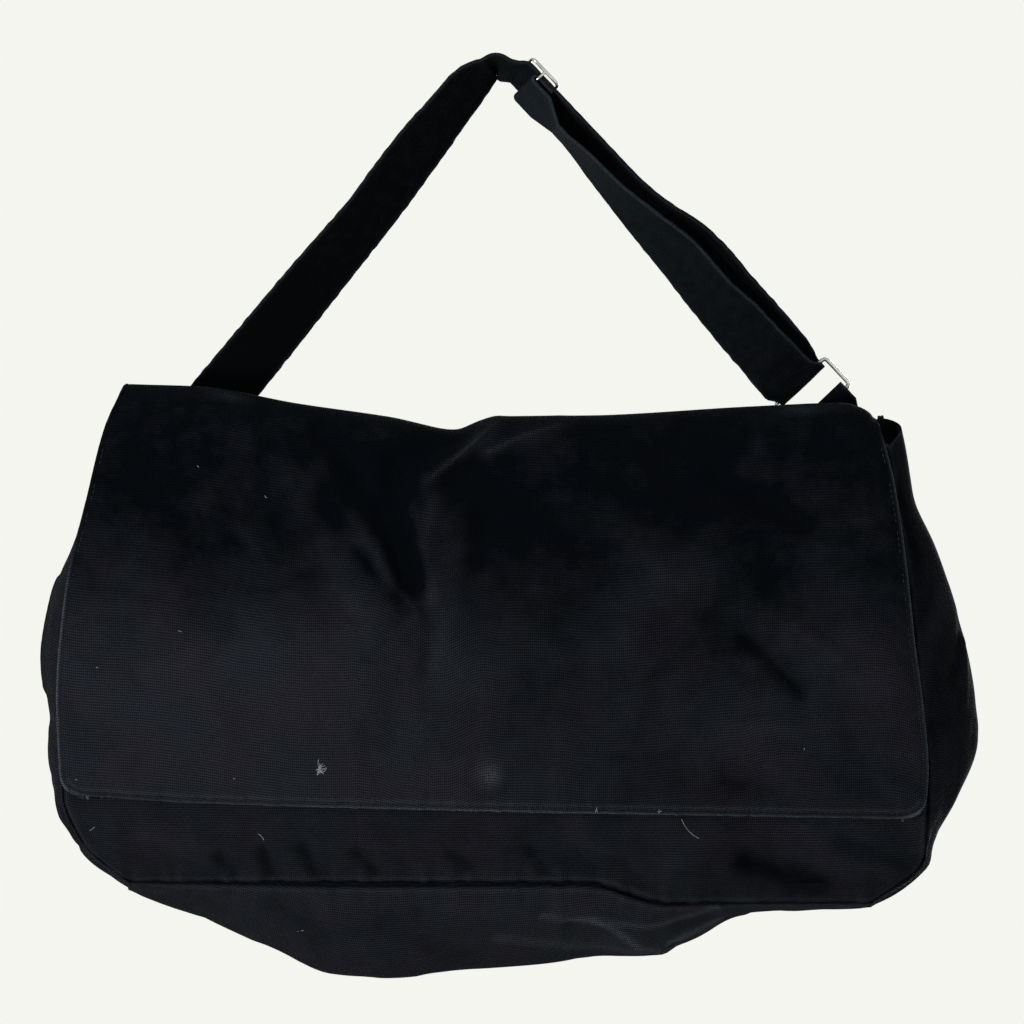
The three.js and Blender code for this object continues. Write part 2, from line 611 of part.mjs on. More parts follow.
function snapSocket() {
  const hole = PIN_DIAMETER / 2 + SNAP_CLEARANCE;
  const seat = -SEAM_GAP;
  const top = seat - SOCKET_DEPTH;
  const floor = top + PIN_LENGTH + SNAP_CLEARANCE;
  const wall = SNAP_DIAMETER / 2;
  return onSnapAxis([[0, seat], [wall, seat], [wall, top + SOCKET_CHAMFER],
    [wall - SOCKET_CHAMFER, top], [hole, top], [hole, floor], [0, floor]]);
}

function snapStud() {
  const face = -SEAM_GAP - SOCKET_DEPTH - SNAP_CLEARANCE;
  return onSnapAxis([[0, face + PIN_LENGTH], [PIN_DIAMETER / 2, face + PIN_LENGTH],
    [PIN_DIAMETER / 2, face], [SNAP_DIAMETER / 2, face], [SNAP_DIAMETER / 2, face - STUD_DEPTH],
    [0, face - STUD_DEPTH]]);
}

const FLAP_WASHER_SEAT = -(FLAP_STANDOFF + FLAP_LINING + WASHER_CLEARANCE);
const BODY_WASHER_SEAT = CANVAS + WASHER_CLEARANCE;

// ---- the seam bindings inside the body ----
function bindingFace(face, surface) {
  return (s, v) => {
    const along = mix(BINDING_FROM, 3 - BINDING_FROM, s);
    const inset = CANVAS + BINDING_INSET + v * BINDING_WIDTH;
    const place = rim(face, along).addScaledVector(rimOutward(along), -inset);
    place.y = surface(place.x, place.z);
    return place;
  };
}

// ---- pieces ----
addPiece('strap_webbing', WEBBING, strapWebbing());
addPiece('strap_return_layer', WEBBING, strapReturn());
addPiece('ring_tab', WEBBING, ringTab());
addPiece('rectangular_ring', NICKEL, rectangularRing());
addPiece('slider_frame', NICKEL, sliderFrame());

// The bag's and the flap's pieces are made about the flex line and hung at its level.
const hang = (name, finish, geometry) => {
  addPiece(name, finish, geometry.translate(0, 0, FLEX_LEVEL));
};

const onPanel = -(LAID_GAP + WEBBING_THICKNESS);
const insidePanel = CANVAS + LAID_GAP;
const leftAnchor = anchorFace(LEFT_FLEX, LEFT_DOWN, LEFT_SIDE, LEFT_ANCHOR_SPREAD);
const rightAnchor = anchorFace(RIGHT_FLEX, RIGHT_DOWN, RIGHT_SIDE, RIGHT_ANCHOR_SPREAD);
const patch = (anchor) => part(anchor, [0, 1], [PATCH_FROM, 1]);
const ends = [ANCHOR_GRID.across, ANCHOR_GRID.down];
const patches = [PATCH_GRID.across, PATCH_GRID.down];
hang('left_strap_anchor', WEBBING, sheet(leftAnchor, ...ends, WEBBING_THICKNESS, onPanel));
hang('right_tab_anchor', WEBBING, sheet(rightAnchor, ...ends, WEBBING_THICKNESS, onPanel));
hang('left_anchor_patch', CLOTH, sheet(patch(leftAnchor), ...patches, CANVAS, insidePanel));
hang('right_anchor_patch', CLOTH, sheet(patch(rightAnchor), ...patches, CANVAS, insidePanel));

const sideSpan = [GUSSET_END_SHARE, 1 - GUSSET_END_SHARE];
const leftStrip = part(stripFace, sideSpan, [0, 1]);
const baseStrip = part(stripFace, sideSpan.map((share) => 1 + share), [0, 1]);
const rightStrip = part(stripFace, sideSpan.map((share) => 2 + share), [0, 1]);
const gussets = [GUSSET_GRID.across, GUSSET_GRID.down];
hang('front_panel', CLOTH, sheet(frontFace, FRONT_GRID.across, FRONT_GRID.down, CANVAS));
hang('back_panel', CLOTH, sheet(backFace, BACK_GRID.across, BACK_GRID.down, CANVAS));
hang('left_gusset', CLOTH, sheet(leftStrip, ...gussets, CANVAS));
hang('base_panel', CLOTH, sheet(baseStrip, BASE_GRID.across, BASE_GRID.down, CANVAS));
hang('right_gusset', CLOTH, sheet(rightStrip, ...gussets, CANVAS));

const facingShare = FACING_HEIGHT / (MOUTH_LEVEL - SEAM_LEFT);
const facingEnd = FACING_INSET / (2 * HALF_BREADTH);
const facing = part(frontFace, [facingEnd, 1 - facingEnd], [0, facingShare]);
hang('mouth_facing', CLOTH, sheet(facing, FRONT_GRID.across, 1, CANVAS, insidePanel));
hang('front_seam_binding', LINING, sheet(
  bindingFace(frontFace, frontY),
  BINDING_STATIONS,
  1,
  BINDING_THICKNESS,
  insidePanel,
));
hang('back_seam_binding', LINING, sheet(
  bindingFace(backFace, backY),
  BINDING_STATIONS,
  1,
  BINDING_THICKNESS,
  insidePanel,
));

const liningSpan = [LINING_INSET, 1 - LINING_INSET];
const underFlap = FLAP_CLOTH + LAYER_GAP;
const topLining = part(flapTopFace, liningSpan, [LINING_START, 1]);
const frontLining = part(flapFrontFace, liningSpan, [0, 1 - LINING_INSET]);
const tops = [FLAP_TOP_GRID.across, FLAP_TOP_GRID.down];
const fronts = [FLAP_FRONT_GRID.across, FLAP_FRONT_GRID.down];
hang('flap_top_outer', CLOTH, sheet(flapTopFace, ...tops, FLAP_CLOTH));
hang('flap_top_lining', LINING, sheet(topLining, ...tops, FLAP_LINING, underFlap));
hang('flap_front_outer', CLOTH, sheet(flapFrontFace, ...fronts, FLAP_CLOTH));
hang('flap_front_lining', LINING, sheet(frontLining, ...fronts, FLAP_LINING, underFlap));

hang('flap_snap_stud', NICKEL, snapStud());
hang('body_snap_socket', NICKEL, snapSocket());
const washer = (seat) => onSnapAxis(disc(WASHER_DIAMETER / 2, seat + WASHER_THICKNESS, seat));
hang('flap_snap_washer', NICKEL, washer(FLAP_WASHER_SEAT - WASHER_THICKNESS));
hang('body_snap_washer', NICKEL, washer(BODY_WASHER_SEAT));

export default bag;
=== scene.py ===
"""A hung canvas messenger bag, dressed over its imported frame."""
import logging
import math
from dataclasses import dataclass, field
from enum import Enum
from functools import partial
from typing import Callable, Mapping, Sequence

import bpy
import numpy as np
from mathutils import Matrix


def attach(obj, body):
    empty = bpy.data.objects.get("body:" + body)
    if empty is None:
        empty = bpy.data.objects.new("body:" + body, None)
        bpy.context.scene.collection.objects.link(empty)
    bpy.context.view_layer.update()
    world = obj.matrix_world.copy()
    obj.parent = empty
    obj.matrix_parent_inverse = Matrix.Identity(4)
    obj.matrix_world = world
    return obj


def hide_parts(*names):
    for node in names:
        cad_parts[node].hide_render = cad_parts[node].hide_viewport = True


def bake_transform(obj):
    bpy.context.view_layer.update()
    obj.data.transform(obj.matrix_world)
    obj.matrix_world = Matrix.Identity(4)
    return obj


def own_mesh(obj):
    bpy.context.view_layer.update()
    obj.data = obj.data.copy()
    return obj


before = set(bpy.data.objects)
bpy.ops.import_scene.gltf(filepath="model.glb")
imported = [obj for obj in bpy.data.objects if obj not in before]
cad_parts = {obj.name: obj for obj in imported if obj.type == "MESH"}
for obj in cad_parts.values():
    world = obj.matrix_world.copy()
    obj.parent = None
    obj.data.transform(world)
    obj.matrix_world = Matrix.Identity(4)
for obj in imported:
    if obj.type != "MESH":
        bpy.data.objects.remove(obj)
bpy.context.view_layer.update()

MM = 0.001
LOG = logging.getLogger("messenger_bag")
AWAY = np.array([0.0, 1.0, 0.0])  # towards the back
Array = np.ndarray
Pair = tuple[float, float]
Point = tuple[float, float, float]
Lint = tuple[tuple[float, float, float, int], ...]  # x, z, size and fibres of each bit


class Side(Enum):
    """The two large panels of the body."""

    FRONT = "front"
    BACK = "back"


class Strip(Enum):
    """The three strips between the panels, by their place along the rim."""

    LEFT = 0
    BASE = 1
    RIGHT = 2


# ---- numbers and curves ----
def ease(share: Array) -> Array:
    """Return a share eased at both ends, held between 0 and 1."""
    held = np.clip(share, 0, 1)
    return held * held * (3 - 2 * held)


def mix(low: Array, high: Array, share: Array) -> Array:
    """Return the value at a share of the way from low to high."""
    return low + (high - low) * share


def ramp(place: Array, start: float, end: float) -> Array:
    """Return how far each place is from start (0) to end (1), eased and held."""
    return ease((place - start) / (end - start))


def ridge(distance: Array, width: float) -> Array:
    """Return a soft ridge: 1 in its middle, and little beyond its width."""
    return np.exp(-((distance / width) ** 2))


def unit(way: Array) -> Array:
    """Return directions at length one."""
    return way / np.linalg.norm(way, axis=-1, keepdims=True)


class Curve:
    """A smooth curve through pairs of place and value, which never swings past a pair."""

    def __init__(self, *stops: Pair) -> None:
        """Keep the pairs and work out the slope at each.

        Args:
            stops: pairs of place and value, in any order.
        """
        knots = sorted(stops)
        self.place = np.array([knot[0] for knot in knots], float)
        self.value = np.array([knot[1] for knot in knots], float)
        rises = np.diff(self.value) / np.diff(self.place)
        before, after = np.r_[rises[0], rises], np.r_[rises, rises[-1]]
        total = np.where(before + after == 0, 1, before + after)
        self.slope = np.where(before * after > 0, 2 * before * after / total, 0)

    def __call__(self, place: Array) -> Array:
        """Return the curve's value at each place, held level beyond its ends.

        Args:
            place: places along the curve.

        Returns:
            The value at each.
        """
        x = np.clip(place, self.place[0], self.place[-1])
        i = np.clip(np.searchsorted(self.place, x) - 1, 0, len(self.place) - 2)
        x0, x1, y0, y1 = self.place[i], self.place[i + 1], self.value[i], self.value[i + 1]
        t = (x - x0) / (x1 - x0)
        tails = t * (1 - t) * ((1 - t) * self.slope[i] - t * self.slope[i + 1])
        return y0 + (y1 - y0) * t * t * (3 - 2 * t) + (x1 - x0) * tails


def graded(length: float, pitch: float, fine: tuple[bool, bool] = (True, True)) -> Array:
    """Return shares from 0 to 1 whose steps are small beside the chosen ends.

    Args:
        length: length of the side in millimetres.
        pitch: step in the middle of the side.
        fine: whether the start and the end are stepped finely.

    Returns:
        The shares, rising.
    """
    steps = [0.2, 0.35, 0.5, 0.6, 0.6, 0.7, 0.7, 0.7]
    while steps[-1] < pitch:
        steps.append(steps[-1] * 1.25)
    edge = np.cumsum(steps)
    start = np.r_[0, edge] if fine[0] else np.array([0.0])
    end = length - np.r_[0, edge][::-1] if fine[1] else np.array([length])
    count = max(2, int(round((end[0] - start[-1]) / pitch)) + 1)
    middle = np.linspace(start[-1], end[0], count)[1:-1]
    return np.r_[start, middle, end] / length


# ---- folds in the cloth ----
@dataclass(frozen=True)
class Fold:
    """A fold along a line, in mm: `depth` deep, or standing out if negative, `width` wide."""

    line: tuple[Pair, ...]
    depth: float
    width: float

    def at(self, x: Array, z: Array) -> Array:
        """Return how far the cloth sinks at each place.

        Args:
            x: places across, in millimetres.
            z: their levels.

        Returns:
            The depth at each place.
        """
        nearest = np.full(np.shape(x), 1e9)
        for (x0, z0), (x1, z1) in zip(self.line, self.line[1:]):
            dx, dz = x1 - x0, z1 - z0
            share = np.clip(((x - x0) * dx + (z - z0) * dz) / (dx * dx + dz * dz), 0, 1)
            nearest = np.minimum(nearest, np.hypot(x - x0 - share * dx, z - z0 - share * dz))
        return self.depth * ridge(nearest, self.width)


def sunk(folds: Sequence[Fold], x: Array, z: Array) -> Array:
    """Return the sum of some folds at each place."""
    return sum((fold.at(x, z) for fold in folds), np.zeros(np.shape(x)))


@dataclass(frozen=True)
class Creases:
    """Small random creases over a stretch of cloth, the same ones at each run."""

    seed: int
    count: int
    across: Pair
    down: Pair
    length: Pair
    depth: float
    width: float
    lean: Pair = (0.0, 180.0)  # range of the creases' directions, in degrees

    def folds(self) -> list[Fold]:
        """Return the creases as folds, half of them standing out.

        Returns:
            The folds, in the order in which they were drawn.
        """
        draw = np.random.default_rng(self.seed)
        made = []
        for index in range(self.count):
            x, z = draw.uniform(*self.across), draw.uniform(*self.down)
            angle, half = math.radians(draw.uniform(*self.lean)), draw.uniform(*self.length) / 2
            dx, dz = half * math.cos(angle), half * math.sin(angle)
            depth = self.depth * draw.uniform(0.35, 1) * (1 if index % 2 else -1)
            line = ((x - dx, z - dz), (x + dx, z + dz))
            made.append(Fold(line, depth, self.width * draw.uniform(0.6, 1.3)))
        return made


@dataclass(frozen=True)
class Puckers:
    """Ripples that sewing draws into cloth beside a seam, over `reach` mm."""

    seed: int
    pitch: float
    height: float
    reach: float

    def at(self, along: Array, away: Array) -> Array:
        """Return the ripples' height.

        Args:
            along: distance along the seam in millimetres.
            away: distance from the seam.

        Returns:
            The height at each place.
        """
        draw = np.random.default_rng(self.seed)
        waves = sum(
            draw.uniform(0.5, 1)
            * np.sin(2 * np.pi * (along / (self.pitch * stretch) + draw.random()))
            for stretch in (0.55, 0.8, 1.0, 1.45, 2.3)
        )
        return self.height * waves / 2 * np.exp(-away / self.reach)


# ---- the bag's form ----
@dataclass(frozen=True)
class BagForm:
    """Outer form of the hanging bag in millimetres: x across, y to the back, z up."""

    left_edge: Curve = Curve(
        (-173, -203), (-230, -219), (-290, -232), (-350, -238), (-398, -237), (-424, -226),
        (-446, -200))
    right_edge: Curve = Curve(
        (-173, 202), (-230, 215), (-290, 224), (-350, 230), (-400, 235), (-432, 234), (-457, 204))
    front_profile: Curve = Curve((-204, -38), (-260, -37), (-330, -32), (-390, -23), (-457, -8))
    back_profile: Curve = Curve(
        (-205, -4.2), (-232, 3), (-275, 24), (-330, 49), (-390, 67), (-457, 73))
    left_swell: Curve = Curve(
        (0, 2), (0.2, 4), (0.34, 10.5), (0.46, 12), (0.58, 8), (0.69, 4), (0.8, 2.5), (1, 4))
    right_swell: Curve = Curve(
        (0, 10), (0.11, 11), (0.22, 18.5), (0.38, 27), (0.56, 32), (0.65, 31), (0.77, 17), (0.88, 4),
        (1, 3))
    base_sag: Curve = Curve(
        (0, 5), (0.11, 22.5), (0.19, 38), (0.26, 51), (0.31, 53), (0.43, 49), (0.57, 44), (0.7, 31),
        (0.84, 6), (1, 3))
    crest: Curve = Curve(
        (-203, -173), (-165, -174), (-107, -183.7), (-60, -190.5), (-26, -196.4), (2, -190.6),
        (56, -189.7), (140, -185), (188, -183.1), (198, -185.5), (208, -193.5))
    flap_left: Curve = Curve(
        (-173, -203), (-198, -213.6), (-231, -222), (-291, -235.4), (-345, -239.8), (-398, -237.6))
    flap_right: Curve = Curve(
        (-173, 202), (-198, 208.7), (-226, 215.8), (-269, 222.4), (-318, 227.8), (-345, 231.6),
        (-385, 234.9), (-411, 233))
    hem: Curve = Curve((-238, -397.5), (-171, -401.7), (-13, -406), (163, -409.3), (234, -410.5))
    front_crown: float = 5.0
    back_crown: float = 8.0
    crown_depth: float = 100.0
    half_breadth: float = 240.0
    back_top: float = -205.0
    mouth: float = -213.0
    seam_left: float = -445.5
    seam_right: float = -457.0
    seam_step: Pair = (35.0, 95.0)
    flap_standoff: float = 8.66  # from the front panel's face to the flap's outer face
    fold_level: float = -208.0
    corner: float = 10.0  # radius of the flap's two corners
    arch_power: float = 0.75  # how full the strips swell; 1 is a plain sine
    corner_reach: float = 0.07  # how far along the rim its direction is averaged
    foot_forward: float = 2.15  # from the back panel's face to the flap's seam
    rear_lean: float = 10.0
    arch_rise: float = 1.33
    arch_foot: float = 0.35  # how far the arch starts above the back panel
    strip_margin: float = 0.004  # share of a strip's section left out beside each seam

    def across(self, x: Array) -> Array:
        """Return the share of the crown at a place across."""
        return np.cos(np.clip(x / self.half_breadth, -1, 1) * np.pi / 2)

    def down(self, z: Array) -> Array:
        """Return the share of the crown at a level."""
        return ease((self.back_top - z) / self.crown_depth)

    def front_y(self, x: Array, z: Array) -> Array:
        """Return the depth of the front panel's outer face."""
        return self.front_profile(z) - self.front_crown * self.across(x) * self.down(z)

    def back_y(self, x: Array, z: Array) -> Array:
        """Return the depth of the back panel's outer face."""
        return self.back_profile(z) + self.back_crown * self.across(x) * self.down(z)

    def seam(self, x: Array) -> Array:
        """Return the level of the seam between a panel and the base."""
        return mix(self.seam_left, self.seam_right, ramp(x, *self.seam_step))

    def panel(self, side: Side, u: Array, v: Array) -> Array:
        """Return places on a panel's outer face.

        Args:
            side: which panel.
            u: share from the left edge to the right one.
            v: share from the top edge to the base seam.

        Returns:
            The places.
        """
        low, high = self.left_edge(self.seam_left), self.right_edge(self.seam_right)
        foot = self.seam(mix(low, high, u))
        z = mix(self.mouth if side is Side.FRONT else self.back_top, foot, v)
        x = mix(self.left_edge(z), self.right_edge(z), u)
        y = self.front_y(x, z) if side is Side.FRONT else self.back_y(x, z)
        return np.stack([x, y, z], -1)

    def rim(self, side: Side, s: Array) -> Array:
        """Return places on a panel's rim: down the left side, along the base, up the right side."""
        return self.panel(side, np.clip(s - 1, 0, 1), np.where(s < 2, np.minimum(s, 1), 3 - s))

    def outward(self, s: Array) -> Array:
        """Return the direction away from the bag's middle at a place on the rim.

        Args:
            s: places along the rim, from 0 to 3.

        Returns:
            One direction for each place, level from front to back.
        """
        before = self.rim(Side.FRONT, np.maximum(s - self.corner_reach, 0))
        after = self.rim(Side.FRONT, np.minimum(s + self.corner_reach, 3))
        rise, run = after[..., 2] - before[..., 2], before[..., 0] - after[..., 0]
        return unit(np.stack([rise, np.zeros_like(rise), run], -1))

    def strip(self, s: Array, t: Array) -> Array:
        """Return places on the gussets' and the base's outer face.

        Args:
            s: place along the rim, from 0 to 3.
            t: share from the front seam to the back seam.

        Returns:
            The places.
        """
        swell = np.where(s <= 1, self.left_swell(s), self.base_sag(s - 1))
        swell = np.where(s <= 2, swell, self.right_swell(3 - s))
        share = mix(self.strip_margin, 1 - self.strip_margin, t)
        section = np.sin(np.pi * share) ** self.arch_power
        flat = mix(self.rim(Side.FRONT, s), self.rim(Side.BACK, s), t[..., None])
        return flat + self.outward(s) * (swell * section)[..., None]

    def flap_y(self, x: Array, z: Array) -> Array:
        """Return the depth of the hanging flap's outer face."""
        return self.front_y(x, z) - self.flap_standoff

    def arch(self, x: Array, t: Array) -> tuple[Array, Array]:
        """Return depth and height of the flap over the mouth, from its seam (0) to the fold (1).

        Args:
            x: places across.
            t: shares from the seam to the fold.

        Returns:
            The depths and the heights.
        """
        foot_y = self.back_y(x, self.back_top) - self.foot_forward
        foot_z = self.back_top + self.arch_foot
        fold_y = self.flap_y(x, self.fold_level)
        top = foot_z + (self.crest(x) - foot_z) * self.arch_rise
        a, b, c, d = (1 - t) ** 3, 3 * t * (1 - t) ** 2, 3 * t * t * (1 - t), t ** 3
        y = a * foot_y + b * (foot_y - self.rear_lean) + c * fold_y + d * fold_y
        return y, a * foot_z + (b + c) * top + d * self.fold_level

    def over_mouth(self, u: Array, t: Array) -> Array:
        """Return places on the flap's arch, from its seam to the fold.

        Args:
            u: shares from the left edge to the right one.
            t: shares from the seam to the fold.

        Returns:
            The places.
        """
        levels = []
        for side in (-self.half_breadth, self.half_breadth):
            level = self.arch(np.full_like(t, side), t)[1]
            levels.append(np.where(t < 0.5, np.maximum(self.crest(side), level), level))
        x = mix(self.flap_left(levels[0]), self.flap_right(levels[1]), u)
        y, z = self.arch(x, t)
        return np.stack([x, y, z], -1)

    def arch_cut(self, u: Array, depth: float) -> Array:
        """Return where on the arch the flap reaches a depth, by halving.

        Args:
            u: shares from the left edge to the right one.
            depth: the depth, as y.

        Returns:
            The share from the seam to the fold, for each u.
        """
        low, high = np.zeros_like(u), np.ones_like(u)
        for _ in range(30):
            middle = (low + high) / 2
            behind = self.over_mouth(u, middle)[..., 1] > depth
            low, high = np.where(behind, middle, low), np.where(behind, high, middle)
        return low

    def hanging(self, u: Array, v: Array) -> Array:
        """Return places on the flap's front, from the fold to the hem with its round corners.

        Args:
            u: shares from the left edge to the right one.
            v: shares from the fold to the hem.

        Returns:
            The places.
        """
        foot = self.hem(mix(-238, 234, u))
        z = mix(self.fold_level, foot, v)
        near = np.clip(self.corner - (z - foot), 0, self.corner)
        inset = self.corner - np.sqrt(self.corner ** 2 - near ** 2)
        x = mix(self.flap_left(z) + inset, self.flap_right(z) - inset, u)
        return np.stack([x, self.flap_y(x, z), z], -1)


FORM = BagForm()
MIDDLE_LEVEL = -330.0  # of the bag, in mm


def facing_out(places: Array) -> Array:
    """Return the surface's direction at each place of a grid, away from the bag's middle.

    Args:
        places: grid of places, rows by columns.

    Returns:
        One direction for each place.
    """
    across = np.gradient(places, axis=1)
    down = np.gradient(places, axis=0)
    way = np.cross(across, down)
    way = way / np.maximum(np.linalg.norm(way, axis=-1, keepdims=True), 1e-9)
    x, z = places[..., 0], places[..., 2]
    middle = np.stack([x / 2, (FORM.front_profile(z) + FORM.back_profile(z)) / 2,
                       np.full_like(x, MIDDLE_LEVEL)], -1)
    inwards = np.sum((middle - places) * way, -1)
    return way * np.where(np.median(inwards) > 0, -1.0, 1.0)


# ---- making meshes ----
SMOOTH_ANGLE = math.radians(40)  # faces that meet at less are shaded smooth
RIM_ANGLE = math.radians(60)  # edges that are sharper are rounded
RIM_SHARE = 0.3  # width of the rounding, as a share of the cloth's thickness
WELD = 1e-6  # in metres


def deselect() -> None:
    """Leave nothing selected."""
    bpy.ops.object.select_all(action="DESELECT")


def edit_all(*steps: Callable[[], object]) -> None:
    """Run edit-mode operators on the whole active mesh."""
    bpy.ops.object.mode_set(mode="EDIT")
    bpy.ops.mesh.select_all(action="SELECT")
    for step in steps:
        step()
    bpy.ops.object.mode_set(mode="OBJECT")


def use(piece: bpy.types.Object) -> None:
    """Make one piece the active and only selected one.

    Args:
        piece: the piece.
    """
    deselect()
    piece.select_set(True)
    bpy.context.view_layer.objects.active = piece


def apply_modifier(piece: bpy.types.Object, kind: str, **settings: object) -> None:
    """Add one modifier with its settings and apply it.

    Args:
        piece: the piece.
        kind: the modifier's type.
        settings: its values by name.
    """
    use(piece)
    modifier = piece.modifiers.new(kind.title(), kind)
    for name, value in settings.items():
        setattr(modifier, name, value)
    bpy.ops.object.modifier_apply(modifier=modifier.name)


def cloth_grid(name: str, places: Array, shades: Mapping[str, Array]) -> bpy.types.Object:
    """Shape a grid into an open sheet with its own UV map in metres.

    Args:
        name: name of the piece.
        places: grid of places in millimetres, rows by columns.
        shades: values for the finish at each place, by attribute name.

    Returns:
        The sheet, turned outwards.
    """
    rows, columns = places.shape[:2]
    deselect()
    bpy.ops.mesh.primitive_grid_add(x_subdivisions=columns - 1, y_subdivisions=rows - 1, size=1)
    piece = bpy.context.object
    piece.name = piece.data.name = name
    mesh = piece.data
    flat = np.empty(len(mesh.vertices) * 3)
    mesh.vertices.foreach_get("co", flat)
    flat = flat.reshape(-1, 3)
    column = np.rint((flat[:, 0] + 0.5) * (columns - 1)).astype(int)
    row = np.rint((0.5 - flat[:, 1]) * (rows - 1)).astype(int)
    mesh.vertices.foreach_set("co", (places[row, column] * MM).ravel())
    across = np.linalg.norm(np.diff(places, axis=1), axis=-1)
    u = np.c_[np.zeros(rows), np.cumsum(across, 1)]
    u = u - u[:, columns // 2][:, None] + np.cumsum(np.r_[0, across.mean(0)])[columns // 2]
    down = np.linalg.norm(np.diff(places, axis=0), axis=-1)
    v = np.r_[np.zeros((1, columns)), np.cumsum(down, 0)]
    corner = np.empty(len(mesh.loops), int)
    mesh.loops.foreach_get("vertex_index", corner)
    flat_uv = np.stack([u[row, column], v[row, column]], -1)[corner] * MM
    mesh.uv_layers.active.data.foreach_set("uv", flat_uv.ravel())
    for shade, values in shades.items():
        attribute = mesh.attributes.new(shade, "FLOAT", "POINT")
        attribute.data.foreach_set("value", np.ascontiguousarray(values[row, column], np.float32))
    mesh.update()
    middle = (rows // 2, columns // 2)
    wanted = facing_out(places)[middle]
    place = places[middle] * MM
    face = min(mesh.polygons, key=lambda p: np.linalg.norm(np.array(p.center) - place))
    if np.dot(np.array(face.normal), wanted) < 0:
        use(piece)
        edit_all(bpy.ops.mesh.flip_normals)
    return piece


def thicken(piece: bpy.types.Object, thickness: float, offset: float = -1.0,
            lined: bool = False, round_edges: bool = True) -> None:
    """Give a sheet its thickness and rounded rims.

    Args:
        piece: the open sheet.
        thickness: thickness in millimetres.
        offset: -1 puts it all inside the face, 0 to both sides.
        lined: whether the inner side takes the second material.
        round_edges: whether the rims are bevelled.
    """
    apply_modifier(piece, "SOLIDIFY", thickness=thickness * MM, offset=offset,
                   material_offset=1 if lined else 0)
    if round_edges:
        apply_modifier(piece, "BEVEL", width=thickness * RIM_SHARE * MM, segments=2,
                       limit_method="ANGLE", angle_limit=RIM_ANGLE)
    use(piece)
    bpy.ops.object.shade_smooth_by_angle(angle=SMOOTH_ANGLE)


def wire(name: str, path: Array, radius: float, closed: bool) -> bpy.types.Object:
    """Draw a round wire along a path and make it a mesh.

    Args:
        name: name of the piece.
        path: places in millimetres.
        radius: the wire's radius.
        closed: whether the path closes on itself.

    Returns:
        The wire.
    """
    curve = bpy.data.curves.new(name, "CURVE")
    curve.dimensions = "3D"
    spline = curve.splines.new("POLY")
    spline.points.add(len(path) - 1)
    flat = np.c_[path * MM, np.ones(len(path))]
    spline.points.foreach_set("co", flat.ravel())
    spline.use_cyclic_u = closed
    curve.bevel_depth = radius * MM
    curve.bevel_resolution = 4
    curve.use_fill_caps = not closed
    piece = bpy.data.objects.new(name, curve)
    bpy.context.collection.objects.link(piece)
    use(piece)
    bpy.ops.object.convert(target="MESH")
    piece = bpy.context.object
    edit_all(lambda: bpy.ops.mesh.remove_doubles(threshold=WELD),
             lambda: bpy.ops.mesh.normals_make_consistent(inside=False))
    bpy.ops.object.shade_smooth_by_angle(angle=SMOOTH_ANGLE)
    return piece


def rounded_loop(centre: Array, x: Array, y: Array, half: Pair, corner: float,
                 steps: int = 7) -> Array:
    """Return places round a rectangle with round corners.

    Args:
        centre: middle of the rectangle.
        x: first direction in its plane.
        y: second direction in its plane.
        half: half its size along each.
        corner: radius of the corners.
        steps: places on each corner.

    Returns:
        The places, once round.
    """
    path = []
    for quarter, (sx, sy) in enumerate(((1, 1), (-1, 1), (-1, -1), (1, -1))):
        for step in range(steps):
            angle = math.pi / 2 * (quarter + step / (steps - 1))
            px = sx * (half[0] - corner) + corner * math.cos(angle)
            py = sy * (half[1] - corner) + corner * math.sin(angle)
            path.append(centre + x * px + y * py)
    return np.array(path)


def along(stops: Array, length: Array, values: Array) -> Array:
    """Return rows of three values read at some distances along a path."""
    return np.stack([np.interp(stops, length, values[:, k]) for k in range(3)], -1)


@dataclass
class Thread:
    """Sewing thread: one stitch, modelled once and copied along seams."""

    length: float = 2.5
    pitch: float = 3.3
    thickness: float = 0.62
    flatness: float = 0.7  # its height over its width
    look: float = 0.5  # how far to each side a row's direction is read, in mm
    corners: Array = field(init=False)
    faces: list[tuple[int, ...]] = field(init=False)

    def __post_init__(self) -> None:
        """Model the stitch from a small ball, drawn out and flattened."""
        deselect()
        bpy.ops.mesh.primitive_uv_sphere_add(segments=6, ring_count=4, radius=0.5)
        ball = bpy.context.object
        stretch = (self.thickness, self.thickness, self.length)
        edit_all(lambda: bpy.ops.transform.resize(value=stretch))
        self.corners = np.array([vertex.co for vertex in ball.data.vertices])
        self.faces = [tuple(face.vertices) for face in ball.data.polygons]
        bpy.data.objects.remove(ball)

    def sew(self, name: str, rows: Sequence[tuple[Array, Array]]) -> bpy.types.Object:
        """Lay stitches along rows of places.

        Args:
            name: name of the piece.
            rows: for each row its places in millimetres and the cloth's outward directions.

        Returns:
            All the stitches as one piece.
        """
        corners, faces = [], []
        for path, outwards in rows:
            length = np.r_[0, np.cumsum(np.linalg.norm(np.diff(path, axis=0), axis=1))]
            stops = np.arange(self.pitch / 2, length[-1], self.pitch)
            centre, ahead, behind = (along(stops + step, length, path)
                                     for step in (0, self.look, -self.look))
            out = unit(along(stops, length, outwards))
            way = unit(ahead - behind)
            side = unit(np.cross(way, out))
            for c, w, s, o in zip(centre, way, side, out):
                first = len(corners) * len(self.corners)
                corners.append(c + self.corners @ np.stack([s, o * self.flatness, w]))
                faces.extend(tuple(first + k for k in face) for face in self.faces)
        mesh = bpy.data.meshes.new(name)
        mesh.from_pydata((np.concatenate(corners) * MM).tolist(), [], faces)
        piece = bpy.data.objects.new(name, mesh)
        bpy.context.collection.objects.link(piece)
        use(piece)
        edit_all(lambda: bpy.ops.mesh.normals_make_consistent(inside=False))
        bpy.ops.object.shade_smooth()
        return piece


